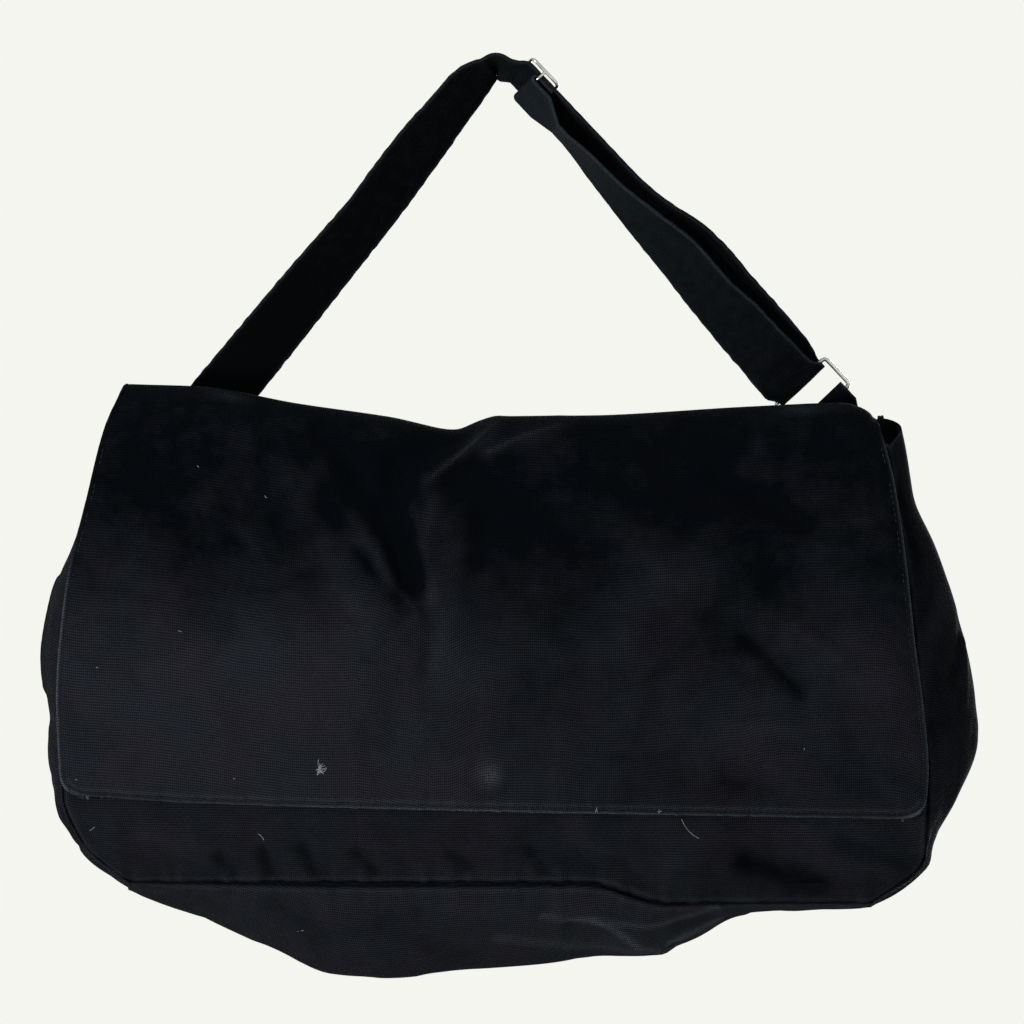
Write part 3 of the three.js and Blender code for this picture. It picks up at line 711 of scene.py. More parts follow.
# ---- finishes ----
def linear(hex_code: str) -> tuple[float, float, float, float]:
    """Return an sRGB hex colour as linear values.

    Args:
        hex_code: the colour, as # and six digits.

    Returns:
        Red, green, blue and an alpha of one.
    """
    parts = [int(hex_code[i:i + 2], 16) / 255 for i in (1, 3, 5)]
    red, green, blue = (p / 12.92 if p <= 0.04045 else ((p + 0.055) / 1.055) ** 2.4 for p in parts)
    return red, green, blue, 1.0


def node(tree: bpy.types.NodeTree, kind: str, settings: Mapping[str | int, object],
         links: Mapping[str | int, bpy.types.NodeSocket] | None = None) -> bpy.types.Node:
    """Add one node with its settings and links.

    Args:
        tree: the tree that takes the node.
        kind: the node's type, without ShaderNode before it.
        settings: values by property, input name or input number.
        links: sockets that feed its inputs, by name or number.

    Returns:
        The new node.
    """
    made = tree.nodes.new(f"ShaderNode{kind}")
    for key, value in settings.items():
        if isinstance(key, str) and key in made.bl_rna.properties:
            setattr(made, key, value)
        else:
            made.inputs[key].default_value = value
    for key, socket in (links or {}).items():
        tree.links.new(socket, made.inputs[key])
    return made


def blank_material(name: str) -> tuple[bpy.types.Material, Callable[..., bpy.types.Node]]:
    """Return a new material, emptied, and what adds a node to it.

    Args:
        name: name of the material.

    Returns:
        The material and its own `node`.
    """
    material = bpy.data.materials.new(name)
    material.use_nodes = True
    material.node_tree.nodes.clear()
    return material, partial(node, material.node_tree)


WAVE_SPAN = 2 * math.pi / 20  # a wave texture's period at a scale of one


@dataclass(frozen=True)
class WovenCloth:
    """A woven cotton: thick threads one way over fine ones the other, worn pale on its edges, with
    light and shade painted into its colour.
    """

    name: str
    ground: str  # the dyed thread
    faded_and_lit: str  # the paler cloth: where light and rubbing have taken the dye, and where light is painted on
    casts: tuple[str, str] = ("#fff4fa", "#eefaf8")  # the dye's warm and cool casts, in patches
    worn: str = "#3c4144"  # bare thread along edges
    rib: float = 1.5  # spacing of the thick threads, in mm
    thread: float = 1.1  # spacing of the fine threads, in mm
    relief: float = 0.5  # height of the weave, in mm
    blotch: float = 13.0  # spacing of the uneven dyeing, in mm
    roughness: float = 0.95
    fuzz: float = 0.006  # strength of the sheen of loose fibres
    rib_across: bool = True  # the thick threads run across the cloth
    thread_gap_shade: float = 0.75  # painted shade: how much darker the cloth is between its threads, and paler on them

    def build(self) -> bpy.types.Material:
        """Return the cloth as a material on the piece's UV map.

        Returns:
            The material.
        """
        material, add = blank_material(self.name)
        place = add("UVMap", {"uv_map": "UVMap"}).outputs["UV"]
        thick, fine = ("Y", "X") if self.rib_across else ("X", "Y")
        ribs = add("TexWave", {
            "wave_type": "BANDS", "bands_direction": thick, "wave_profile": "SIN",
            "Scale": WAVE_SPAN / (self.rib * MM), "Distortion": 1.1, "Detail": 2.0,
            "Detail Scale": 0.55, "Detail Roughness": 0.6}, {"Vector": place})
        threads = add("TexWave", {
            "wave_type": "BANDS", "bands_direction": fine, "wave_profile": "SIN",
            "Scale": WAVE_SPAN / (self.thread * MM), "Distortion": 1.6, "Detail": 2.0,
            "Detail Scale": 0.8, "Detail Roughness": 0.6}, {"Vector": place})
        slubs = add("TexNoise", {
            "Scale": 1 / (1.6 * MM), "Detail": 3.0, "Roughness": 0.65}, {"Vector": place})
        blotches = add("TexNoise", {
            "Scale": 1 / (self.blotch * MM), "Detail": 6.0, "Roughness": 0.7}, {"Vector": place})
        weave = add("Math", {"operation": "MULTIPLY", 1: 0.45},
                     {0: threads.outputs["Fac"]})
        weave = add("Math", {"operation": "ADD"},
                     {0: ribs.outputs["Fac"], 1: weave.outputs[0]})
        weave = add("Math", {"operation": "MULTIPLY_ADD", 1: 0.8},
                     {0: slubs.outputs["Fac"], 2: weave.outputs[0]})
        relief = add("Bump", {
            "Strength": 1.0, "Distance": self.relief * MM}, {"Height": weave.outputs[0]})

        # painted light and shade ride on this attribute with the dye's paleness: paler where light
        # falls, darker in folds and seams
        tone = add("Attribute", {"attribute_name": "tone"})
        wear = add("Attribute", {"attribute_name": "wear"})
        blotch_and_painted_light = add("MapRange", {
            "From Min": 0.32, "From Max": 0.72, "To Min": -0.16, "To Max": 0.19, "clamp": False},
            {"Value": blotches.outputs["Fac"]})
        blotch_and_painted_light = add("Math", {"operation": "ADD", "use_clamp": True},
                    {0: blotch_and_painted_light.outputs[0], 1: tone.outputs["Fac"]})
        colour_with_painted_light = add("Mix", {
            "data_type": "RGBA", 6: linear(self.ground), 7: linear(self.faded_and_lit)},
            {0: blotch_and_painted_light.outputs[0]})
        casts = add("TexNoise", {
            "Scale": 1 / (3 * self.blotch * MM), "Detail": 3.0, "Roughness": 0.5},
            {"Vector": place})
        casts = add("MapRange", {"From Min": 0.42, "From Max": 0.6},
                     {"Value": casts.outputs["Fac"]})
        casts = add("Mix", {
            "data_type": "RGBA", 6: linear(self.casts[1]), 7: linear(self.casts[0])},
            {0: casts.outputs[0]})
        colour_with_painted_light = add("Mix", {"data_type": "RGBA", "blend_type": "MULTIPLY", 0: 1.0},
                    {6: colour_with_painted_light.outputs[2], 7: casts.outputs[2]})
        rubbed = add("MapRange", {
            "From Min": 0.3, "From Max": 0.6, "To Min": 0.45, "To Max": 1.15},
            {"Value": slubs.outputs["Fac"]})
        rubbed = add("Math", {"operation": "MULTIPLY", "use_clamp": True},
                      {0: rubbed.outputs[0], 1: wear.outputs["Fac"]})
        colour_with_painted_light = add("Mix", {"data_type": "RGBA", 7: linear(self.worn)},
                    {0: rubbed.outputs[0], 6: colour_with_painted_light.outputs[2]})
        # painted shade between the threads and painted light on them
        shade = add("MapRange", {
            "From Min": 0.35, "From Max": 1.75, "To Min": 1 - self.thread_gap_shade,
            "To Max": 1 + self.thread_gap_shade}, {"Value": weave.outputs[0]})
        colour_with_painted_light = add("Mix", {"data_type": "RGBA", "blend_type": "MULTIPLY", 0: 1.0},
                    {6: colour_with_painted_light.outputs[2], 7: shade.outputs[0]})
        shader = add("BsdfPrincipled", {
            "Roughness": self.roughness, "Specular IOR Level": 0.045, "Sheen Weight": self.fuzz,
            "Sheen Roughness": 0.5, "Sheen Tint": linear("#9aa0a8")},
            {"Base Color": colour_with_painted_light.outputs[2], "Normal": relief.outputs[0]})
        add("OutputMaterial", {}, {"Surface": shader.outputs[0]})
        return material


@dataclass(frozen=True)
class PlatedMetal:
    """Nickel-plated steel: bright and slightly warm, with fine scuffs and dull patches."""

    name: str
    colour: str
    roughness: float = 0.16
    scuff: float = 0.6  # spacing of the scuffs, in mm

    def build(self) -> bpy.types.Material:
        """Return the metal as a material on object coordinates.

        Returns:
            The material.
        """
        material, add = blank_material(self.name)
        place = add("TexCoord", {}).outputs["Object"]
        scuffs = add("TexNoise", {
            "Scale": 1 / (self.scuff * MM), "Detail": 4.0, "Roughness": 0.6}, {"Vector": place})
        patches = add("TexNoise", {
            "Scale": 1 / (5 * MM), "Detail": 2.0}, {"Vector": place})
        dull = add("MapRange", {
            "From Min": 0.35, "From Max": 0.75, "To Min": self.roughness,
            "To Max": self.roughness + 0.2}, {"Value": patches.outputs["Fac"]})
        marks = add("Bump", {"Strength": 0.25, "Distance": 0.05 * MM},
                     {"Height": scuffs.outputs["Fac"]})
        shader = add("BsdfPrincipled", {
            "Metallic": 1.0, "Base Color": linear(self.colour)},
            {"Roughness": dull.outputs[0], "Normal": marks.outputs[0]})
        add("OutputMaterial", {}, {"Surface": shader.outputs[0]})
        return material


@dataclass(frozen=True)
class SpunThread:
    """Spun cotton: two plies twisted together, dull, with painted shade between the plies."""

    name: str
    colour: str
    ply: float = 0.8  # spacing of the plies, in mm

    def build(self) -> bpy.types.Material:
        """Return the thread as a material on object coordinates.

        Returns:
            The material.
        """
        material, add = blank_material(self.name)
        place = add("TexCoord", {}).outputs["Object"]
        plies = add("TexWave", {
            "bands_direction": "DIAGONAL", "Scale": WAVE_SPAN / (self.ply * MM),
            "Distortion": 0.5}, {"Vector": place})
        twist = add("Bump", {"Strength": 0.8, "Distance": 0.15 * MM},
                     {"Height": plies.outputs["Fac"]})
        # painted shade between the plies and painted light on them
        shade = add("MapRange", {"To Min": 0.6, "To Max": 1.2},
                     {"Value": plies.outputs["Fac"]})
        colour_with_painted_light = add("Mix", {
            "data_type": "RGBA", "blend_type": "MULTIPLY", 0: 1.0, 6: linear(self.colour)},
            {7: shade.outputs[0]})
        shader = add("BsdfPrincipled", {
            "Roughness": 0.85, "Specular IOR Level": 0.2},
            {"Base Color": colour_with_painted_light.outputs[2], "Normal": twist.outputs[0]})
        add("OutputMaterial", {}, {"Surface": shader.outputs[0]})
        return material


@dataclass
class Wardrobe:
    """The finishes of the bag, each built once."""

    # Ribbed cotton canvas, dyed near black: weft ribs about 1.2 mm apart, drawn 1.5 mm so
    # that they show; it looks dry and takes lint, and its edges rub grey.
    canvas: bpy.types.Material = field(default_factory=lambda: WovenCloth(
        "ribbed_cotton_canvas", "#020509", "#25262c", worn="#4a5156").build())
    # The same canvas on the base strip, cut with its ribs upright.
    canvas_upright: bpy.types.Material = field(default_factory=lambda: WovenCloth(
        "ribbed_cotton_canvas_upright", "#020509", "#25262c", worn="#4a5156",
        rib_across=False).build())
    # Plain cotton lining: fine even threads, 0.5 mm apart and drawn 0.9 mm.
    lining: bpy.types.Material = field(default_factory=lambda: WovenCloth(
        "plain_cotton_lining", "#0f1114", "#1b1e23", worn="#2a2d31", rib=0.9, thread=0.9,
        relief=0.2, thread_gap_shade=0.2).build())
    # Cotton webbing: close weft ridges across the band, 1.3 mm apart, and cords along it.
    webbing: bpy.types.Material = field(default_factory=lambda: WovenCloth(
        "cotton_webbing", "#020305", "#1a2024", worn="#56626a", rib=1.3, thread=2.0, relief=0.35,
        blotch=9.0, thread_gap_shade=0.4).build())
    nickel: bpy.types.Material = field(default_factory=lambda: PlatedMetal(
        "nickel_plated_steel", "#a9a9a5").build())
    thread: bpy.types.Material = field(default_factory=lambda: SpunThread(
        "black_cotton_thread", "#1d2023").build())
    lint: bpy.types.Material = field(default_factory=lambda: SpunThread(
        "pale_cotton_lint", "#8d8f8f").build())


def dress(piece: bpy.types.Object, *materials: bpy.types.Material) -> None:
    """Give a piece its materials, in slot order.

    Args:
        piece: the piece.
        materials: its materials.
    """
    piece.data.materials.clear()
    for material in materials:
        piece.data.materials.append(material)


def plain(places: Array, tone: float = 0.0, wear: Array | float = 0.0) -> dict[str, Array]:
    """Return the finish values for a grid: an even tone, and wear."""
    shape = places.shape[:2]
    return {"tone": np.full(shape, tone), "wear": np.broadcast_to(wear, shape) + np.zeros(shape)}


# ---- the strap's two runs ----
@dataclass(frozen=True)
class Run:
    """A straight run of the strap: where it leaves the hook's bend, its way down and its side."""

    start: Array
    down: Array
    side: Array

    def at(self, s: Array | float, offset: Array | float = 0.0,
           back: Array | float = 0.0) -> Array:
        """Return places `s` mm down the run, moved to its side and to the back."""
        return (self.start + np.multiply.outer(s, self.down) + np.multiply.outer(offset, self.side)
                + np.multiply.outer(back, AWAY))

    def across(self, twist: Array | float) -> Array:
        """Return the webbing's width direction, turned by `twist` degrees from face-on."""
        angle = np.radians(twist)
        return np.multiply.outer(np.cos(angle), self.side) - np.multiply.outer(np.sin(angle), AWAY)


LEFT_RUN = Run(np.array([-5.286, 0, -1.565]), np.array([-0.6428, 0, -0.7660]),
               np.array([-0.7660, 0, 0.6428]))
RIGHT_RUN = Run(np.array([5.0216, 0, -1.2679]), np.array([0.685818, 0, -0.727773]),
                np.array([0.727773, 0, 0.685818]))


@dataclass(frozen=True)
class Band:
    """Stations of webbing: its middle, its width direction and its half width."""

    centre: Array
    across: Array
    half: Array

    def __add__(self, other: "Band") -> "Band":
        """Return this stretch of webbing followed by another."""
        return Band(np.concatenate([self.centre, other.centre]),
                    np.concatenate([self.across, other.across]),
                    np.concatenate([self.half, other.half]))

    def reversed(self) -> "Band":
        """Return the same stretch from its other end."""
        return Band(self.centre[::-1], self.across[::-1], self.half[::-1])

    def grid(self, columns: int = 17, cup: float = 0.35) -> Array:
        """Return places over the webbing, slightly cupped, stations by columns.

        Args:
            columns: places across the webbing.
            cup: how far its middle stands out.

        Returns:
            The places.
        """
        share = np.linspace(-1, 1, columns)
        way = unit(np.gradient(self.centre, axis=0))
        normal = unit(np.cross(self.across, way))
        places = self.centre[:, None] + self.across[:, None] * (
            self.half[:, None] * share)[..., None]
        return places + normal[:, None] * (cup * (1 - share ** 2))[None, :, None]


@dataclass(frozen=True)
class SewnEnd:
    """An end of webbing that is sewn to the back panel."""

    side: str
    run: Run  # the run that it goes on from
    flex: float  # how far down that run it starts
    foot: Pair  # x and z of its end


@dataclass
class ShoulderStrap:
    """The strap: left run, bend over the hook, doubled right run, slider, ring and tab."""

    wardrobe: Wardrobe
    thread: Thread
    width: float = 32.0
    thickness: float = 1.7
    # The next five give the edges seen from the front: places down a run, and to its side.
    left_upper: Curve = Curve(
        (0, 7.2), (5.1, 10.2), (11.1, 12.3), (16, 13.1), (33.4, 13.4), (51.9, 14.3), (69.4, 13.9),
        (86.5, 13.0), (103.2, 11.8), (121.3, 12.2), (157.6, 13.1), (229.2, 13.5))
    left_lower: Curve = Curve(
        (0.3, -6.5), (15.2, -8.3), (31.9, -9.5), (48.3, -11.2), (65.1, -12.4), (81.8, -13.7),
        (98.9, -14.5), (133.5, -15.7), (168, -17.0), (202.2, -18.2), (213.8, -18.5))
    right_upper: Curve = Curve(
        (-2.7, 6.1), (4.6, 6.7), (13.8, 9.3), (33.8, 10.7), (54.9, 13.2), (74.9, 14.6), (95.7, 16.8),
        (115.7, 18.1), (136.8, 20.7), (155.7, 20.9), (173.5, 19.8), (192, 19.6), (210.1, 19.0),
        (227.9, 18.0), (237.9, 16.0))
    right_light: Curve = Curve(
        (2.6, -3.9), (21.4, -0.9), (43.8, -1.0), (65.3, 1.2), (87.2, 2.2), (113.3, 6.1), (142.9, 10.5),
        (167.6, 9.6), (189.5, 11.5), (213.4, 11.4), (235.4, 13.5))
    right_lower: Curve = Curve(
        (2.3, -6.8), (17.7, -6.4), (38.5, -4.2), (56.2, -5.2), (72.9, -7.4), (89.9, -9.2),
        (106.9, -11.0), (124.3, -12.5), (141.7, -13.9), (158.7, -15.7), (176.1, -17.1), (193.5, -18.5),
        (211.6, -19.1), (229, -21.0), (238, -19.5))
    flex: float = 248.6  # down the left run
    ring_at: float = 234.0  # down the right run
    ring_loop: float = 2.7
    ring_pitch: float = 20.0
    tab_loop: float = 3.8
    tab_length: float = 7.8
    slider_at: float = 16.0
    overlap: float = 0.15  # how far one layer stands over the other where they meet
    slider_twist: float = 64.0  # how far the slider is turned from face-on, in degrees
    slider_lie: float = 4.6  # how far to the run's side its middle is
    slider_way: Pair = (7.0, 87.0)  # where it slides, the webbing lies straight
    slider_fade: float = 66.0  # and over this length below it takes up its free form
    slider_half: Pair = (18.1, 10.1)
    slider_corner: float = 2.6
    slider_wire: float = 0.95
    slider_lift: float = 2.2  # how far its frame stands outside the webbing
    bar_wire: float = 0.85
    bar_half: float = 16.8
    bar_rise: float = 1.5  # how high its bent ends start
    tucked: float = 1.5  # how much of the back layer the front one hides
    least_half: float = 2.0  # of the webbing that shows, however far it is turned
    face_on: Pair = (205.0, 234.0)  # down the run, both layers turn face-on
    layers_part: Pair = (174.0, 226.0)  # and part to go round the ring's bar
    main_centred: Pair = (222.0, 234.0)  # the back layer moves to its middle
    return_centred: Pair = (229.0, 236.0)  # and so does the front layer
    hook_hump: float = 3.4  # how far the bend stands over its two ends
    sewn_length: float = 50.0
    sewn_steps: int = 26
    sewn_gap: float = 0.6  # between the back panel and what is sewn on it
    sewn_rise: float = 0.42  # share of a sewn end that stands off the panel
    left_shift: float = -2.6  # how far to the run's side the left end starts
    rub_share: float = 0.035  # how far in its edges are rubbed, as a share of half the width
    ring_half: float = 18.7
    ring_corner: float = 2.2
    ring_wire: float = 1.2
    box_half: float = 12.0  # half the width of the stitched box
    box_margin: float = 4.0  # from the box to the webbing's end
    bar_loop: float = 1.85
    loop_reach: float = 2.45  # of the loop round the bar, along the run: it shortens with the slide
    middle_bar: float = 3.75
    ring_shift: float = -0.5  # how far to the run's side the webbing lies in the ring
    left_foot: Pair = (-186.0, -242.0)
    right_foot: Pair = (192.0, -242.0)

    def half_width(self, s: Array, seed: int) -> Array:
        """Return the webbing's half width, with the small waves of its edges.

        Args:
            s: places down a run.
            seed: seed of the waves.

        Returns:
            The half width at each place.
        """
        draw = np.random.default_rng(seed)
        waves = sum(np.sin(2 * np.pi * (s / pitch + draw.random())) for pitch in (7.0, 8.6, 13.0))
        return self.width / 2 + 0.1 * waves

    def turned(self, visible_half: Array) -> Array:
        """Return how far the webbing is turned from face-on to show a half width."""
        return np.degrees(np.arccos(np.clip(2 * visible_half / self.width, 0.08, 1)))

    def left_band(self, s: Array) -> Band:
        """Return the left run's stations.

        Args:
            s: places down the run.

        Returns:
            The stations.
        """
        upper, lower = self.left_upper(s), self.left_lower(s)
        centre = LEFT_RUN.at(s, (upper + lower) / 2)
        return Band(centre, LEFT_RUN.across(self.turned((upper - lower) / 2)),
                    self.half_width(s, 3))

    def front_half(self, s: Array) -> Array:
        """Return the half width that the front layer of the right run shows."""
        shown = (self.right_light(s) - self.right_lower(s)) / 2
        return np.clip(shown, self.least_half, self.width / 2)

    def main_lie(self, s: Array) -> tuple[Array, Array]:
        """Return the back layer's middle, to the run's side, and its turn from face-on.

        Args:
            s: places down the run.

        Returns:
            The offsets, and the turns in degrees.
        """
        upper = self.right_upper(s)
        half = np.maximum((upper - self.right_light(s)) / 2 + self.tucked, self.front_half(s))
        half = np.clip(half, self.least_half, self.width / 2)
        first, last = self.slider_way
        straight = ease(s / first) * ramp(s, last + self.slider_fade, last)
        twist = mix(self.turned(half), self.slider_twist, straight)
        twist = mix(twist, 0.0, ramp(s, *self.face_on))
        offset = upper - self.width / 2 * np.cos(np.radians(twist))
        offset = mix(offset, self.slider_lie, straight)
        return mix(offset, self.ring_shift, ramp(s, *self.main_centred)), twist

    def main_band(self, s: Array) -> Band:
        """Return the stations of the right run's back layer.

        Args:
            s: places down the run.

        Returns:
            The stations.
        """
        offset, twist = self.main_lie(s)
        back = mix(0.0, self.ring_loop, ramp(s, *self.layers_part))
        return Band(RIGHT_RUN.at(s, offset, back), RIGHT_RUN.across(twist), self.half_width(s, 5))

    def return_band(self, s: Array) -> Band:
        """Return the stations of the right run's front layer.

        Args:
            s: places down the run.

        Returns:
            The stations.
        """
        offset = (self.right_light(s) + self.right_lower(s)) / 2
        offset = mix(offset, self.ring_shift, ramp(s, *self.return_centred))
        twist = mix(self.turned(self.front_half(s)), 0.0, ramp(s, *self.face_on))
        back = -self.ring_loop - self.overlap
        return Band(RIGHT_RUN.at(s, offset, back), RIGHT_RUN.across(twist), self.half_width(s, 7))

    def round_ring(self, degrees: Array, radius: float) -> Band:
        """Return the stations round the ring's upper bar, from the back (0) to the front (180).

        Args:
            degrees: angles round the bar.
            radius: distance from the bar's middle.

        Returns:
            The stations.
        """
        angle = np.radians(degrees)
        centre = RIGHT_RUN.at(self.ring_at + radius * np.sin(angle), self.ring_shift,
                              radius * np.cos(angle))
        return self.even_band(centre, RIGHT_RUN.side)

    def even_band(self, centre: Array, across: Array) -> Band:
        """Return stations at full width that all lie one way."""
        return Band(centre, np.tile(across, (len(centre), 1)),
                    np.full(len(centre), self.width / 2))

    def bend(self) -> Band:
        """Return the stations over the hook.

        Returns:
            The stations, from the left run to the right one.
        """
        share = np.linspace(0, 1, 15)[1:-1]
        first, last = self.left_band(np.array([0.0])), self.main_band(np.array([0.0]))
        way = unit(mix(LEFT_RUN.side, RIGHT_RUN.side, share[:, None]))
        hump = np.sin(np.pi * share) ** 2
        centre = mix(first.centre, last.centre, share[:, None])
        centre += way * (self.hook_hump * hump)[:, None]
        across = unit(mix(first.across, last.across, share[:, None]))
        return Band(centre, across, np.full_like(share, self.width / 2))

    def sewn_band(self, end: SewnEnd, shift: float = 0.0, steps: int = 40) -> Band:
        """Return the stations of a sewn end, in the plane of the strap.

        Args:
            end: the end.
            shift: offset of the run's middle to its side.
            steps: number of stations.

        Returns:
            The stations, from the flex line to the foot.
        """
        v = np.linspace(0, 1, steps)
        start, foot = end.run.at(end.flex), np.array([end.foot[0], 0, end.foot[1]])
        way = unit(foot - start)
        foot_side = np.array([-way[2], 0, way[0]]) * np.sign(end.run.side[0])
        across = unit(mix(end.run.side, foot_side, v[:, None]))
        centre = mix(start, foot, v[:, None]) + across * (shift * (1 - v))[:, None]
        return Band(centre, across, self.half_width(v * self.sewn_length, 11))

    def sewn_ends(self) -> tuple[SewnEnd, SewnEnd]:
        """Return the strap's sewn end, on the left, and the tab's, on the right."""
        tab_flex = self.ring_at + self.ring_pitch + self.tab_length
        return (SewnEnd("left", LEFT_RUN, self.flex, self.left_foot),
                SewnEnd("right", RIGHT_RUN, tab_flex, self.right_foot))

    def slider_turn(self) -> tuple[float, float, Array]:
        """Return where the slider lies.

        Returns:
            Its offset to the run's side, its turn from face-on in degrees and its outward way.
        """
        offset, turn = self.main_lie(np.array(self.slider_at))
        angle = math.radians(float(turn))
        return float(offset), float(turn), (
            RIGHT_RUN.side * math.sin(angle) + AWAY * math.cos(angle))

    def on_panel(self, places: Array, top: Point) -> Array:
        """Lay the rows of a sewn end on the back panel, from the flex line down.

        Args:
            places: the band's grid in the plane of the strap.
            top: where the sewn end starts.

        Returns:
            The same grid with its depths set.
        """
        v = np.linspace(0, 1, len(places))[:, None]
        lie = FORM.back_y(places[..., 0], places[..., 2]) + self.sewn_gap + self.thickness / 2
        stand_off = -(FORM.back_y(top[0], FORM.back_top) + self.sewn_gap + self.thickness / 2)
        laid = places.copy()
        laid[..., 1] = lie + stand_off * np.clip(1 - v / self.sewn_rise, 0, 1) ** 2
        return laid

    def shades(self, places: Array, pale: Array | float, edges: Pair
               ) -> dict[str, Array]:
        """Return the webbing's finish values.

        Args:
            places: the webbing's grid.
            pale: how pale each station is painted: painted light and shade along the twisted webbing.
            edges: how rubbed the lower and the upper edge are.

        Returns:
            The values at each place.
        """
        share = np.linspace(-1, 1, places.shape[1])
        rubbed = np.exp(-(1 - np.abs(share)) / self.rub_share) * np.where(share < 0, *edges)
        values = plain(places, 0.0, rubbed)
        values["tone"] = values["tone"] + np.reshape(pale, (-1, 1))
        return values

    def main_webbing(self) -> bpy.types.Object:
        """Model the webbing from its sewn left end over the hook and round the ring's bar.

        Returns:
            The webbing.
        """
        end = self.sewn_band(self.sewn_ends()[0], self.left_shift, self.sewn_steps)
        laid = self.on_panel(end.grid(), tuple(end.centre[0]))[::-1]
        left = self.left_band(np.linspace(self.flex - 2, 0, 120))
        right = self.main_band(np.linspace(0, self.ring_at, 112)[1:])
        turn = self.round_ring(np.arange(15.0, 91.0, 15.0), self.ring_loop)
        bend = self.bend()
        places = np.concatenate([laid, (left + bend + right + turn).grid()])
        row = np.arange(len(places)) - len(laid) - len(left.half)  # 0 at the hook's bend
        # painted light and shade: paler over the bend, darker low on the left run and down the right
        # run
        pale = np.interp(row, (-110, -70, 0, len(bend.half), 30, 45, 60),
                         (-0.3, 0.0, 0.1, 0.3, 0.3, -0.3, -0.5))
        shades = self.shades(places, pale, (0.12, 0.12))
        return self.webbing("shoulder_strap_webbing", places, shades)

    def return_layer(self) -> bpy.types.Object:
        """Model the layer that comes back from the ring and is sewn round the slider's bar.

        Returns:
            The layer.
        """
        offset, twist, outer = self.slider_turn()
        angle = np.radians(np.arange(0, 181, 15))
        s = np.r_[self.slider_at + 12, self.slider_at + 5,
                  self.slider_at - self.loop_reach * np.sin(angle), self.slider_at + 11]
        near, far = -self.middle_bar + self.bar_loop, -self.middle_bar - self.bar_loop
        level = np.r_[far, far, -self.middle_bar - self.bar_loop * np.cos(angle), near]
        centre = RIGHT_RUN.at(s, offset) + level[:, None] * outer
        loop = self.even_band(centre, RIGHT_RUN.across(twist)).reversed()
        free = self.return_band(np.linspace(self.slider_at + 26, self.ring_at - 0.4, 100))
        wrap = self.round_ring(np.arange(180.0, 5.0, -15.0), self.ring_loop + self.overlap)
        places = (loop + free + wrap).grid(cup=0.1)
        row = np.arange(len(places)) - len(loop.half)
        # painted light and shade: the front layer painted paler near the slider, darker towards the
        # ring
        pale = np.interp(row, (0, 14, 26, 60, 90, 100), (0.75, 0.65, 0.45, 0.3, 0.2, 0.1))
        return self.webbing("strap_return_webbing", places, self.shades(places, pale, (0.08, 0.2)))

    def tab(self) -> bpy.types.Object:
        """Model the tab that holds the ring, from its sewn end round the ring's lower bar.

        Returns:
            The tab.
        """
        lower_bar = self.ring_at + self.ring_pitch
        end = self.sewn_band(self.sewn_ends()[1], steps=self.sewn_steps)
        laid = self.on_panel(end.grid(cup=0.1), tuple(end.centre[0]))[::-1]
        angle = np.radians(np.arange(45, -196, -15))
        down = np.r_[self.tab_length - 2, self.tab_length * 0.7, self.tab_loop * np.sin(angle),
                     self.tab_length * 0.45]
        back = np.r_[0.1, 0.6, self.tab_loop * np.cos(angle), -self.tab_loop * 0.7]
        band = self.even_band(RIGHT_RUN.at(lower_bar + down, 0.0, back), RIGHT_RUN.side)
        places = np.concatenate([laid, band.grid(cup=0.1)])
        return self.webbing("ring_tab_webbing", places, self.shades(places, 0.2, (0.15, 0.15)))

    def webbing(self, name: str, places: Array, shades: dict[str, Array]) -> bpy.types.Object:
        """Make one length of webbing from its grid.

        Args:
            name: name of the piece.
            places: grid of places, rows by columns.
            shades: values for the finish, by attribute name.

        Returns:
            The webbing.
        """
        piece = cloth_grid(name, places, shades)
        dress(piece, self.wardrobe.webbing)
        thicken(piece, self.thickness, 0.0)
        return piece

    def ring(self) -> bpy.types.Object:
        """Model the ring as a bent wire.

        Returns:
            The ring.
        """
        centre = RIGHT_RUN.at(self.ring_at + self.ring_pitch / 2)
        path = rounded_loop(centre, RIGHT_RUN.side, RIGHT_RUN.down,
                            (self.ring_half, self.ring_pitch / 2), self.ring_corner)
        return wire("rounded_ring", path, self.ring_wire, True)

    def slider(self) -> bpy.types.Object:
        """Model the slider: a rounded frame outside the webbing and its middle bar inside.

        Returns:
            The frame and its bar as one piece.
        """
        offset, twist, outer = self.slider_turn()
        across = RIGHT_RUN.across(twist)
        centre = RIGHT_RUN.at(self.slider_at, offset)
        high, low = centre + outer * self.slider_lift, centre - outer * self.middle_bar
        loop = rounded_loop(high, across, RIGHT_RUN.down, self.slider_half, self.slider_corner)
        frame_wire = wire("slider_loop", loop, self.slider_wire, True)
        reach, rise = across * self.slider_half[0], outer * self.bar_rise
        bend = across * self.bar_half
        path = np.array([high - reach, low - reach + rise, low - bend, low + bend,
                         low + reach + rise, high + reach])
        bar = wire("slider_bar", path, self.bar_wire, False)
        use(frame_wire)
        bar.select_set(True)
        bpy.ops.object.join()
        piece = bpy.context.object
        piece.name = piece.data.name = "rounded_slider"
        return piece

    def box_stitches(self, sewn: SewnEnd) -> bpy.types.Object:
        """Sew a box with a cross through it over a sewn end.

        Args:
            sewn: the sewn end.

        Returns:
            The stitches.
        """
        end = self.sewn_band(sewn)
        start, tip = end.centre[len(end.centre) // 2], end.centre[-1]
        down = unit(tip - start) * (np.linalg.norm(tip - start) - self.box_margin)
        side = end.across[-1] * self.box_half
        corners = [start - side, start + side, start + side + down, start - side + down]
        lines = [(0, 1), (1, 2), (2, 3), (3, 0), (0, 2), (1, 3)]
        rows = []
        for first, last in lines:
            path = mix(corners[first], corners[last], np.linspace(0, 1, 24)[:, None])
            path[:, 1] = FORM.back_y(path[:, 0], path[:, 2]) + self.sewn_gap + self.thickness + 0.1
            rows.append((path, np.tile(AWAY, (len(path), 1))))
        return self.thread.sew(f"{sewn.side}_box_stitching", rows)

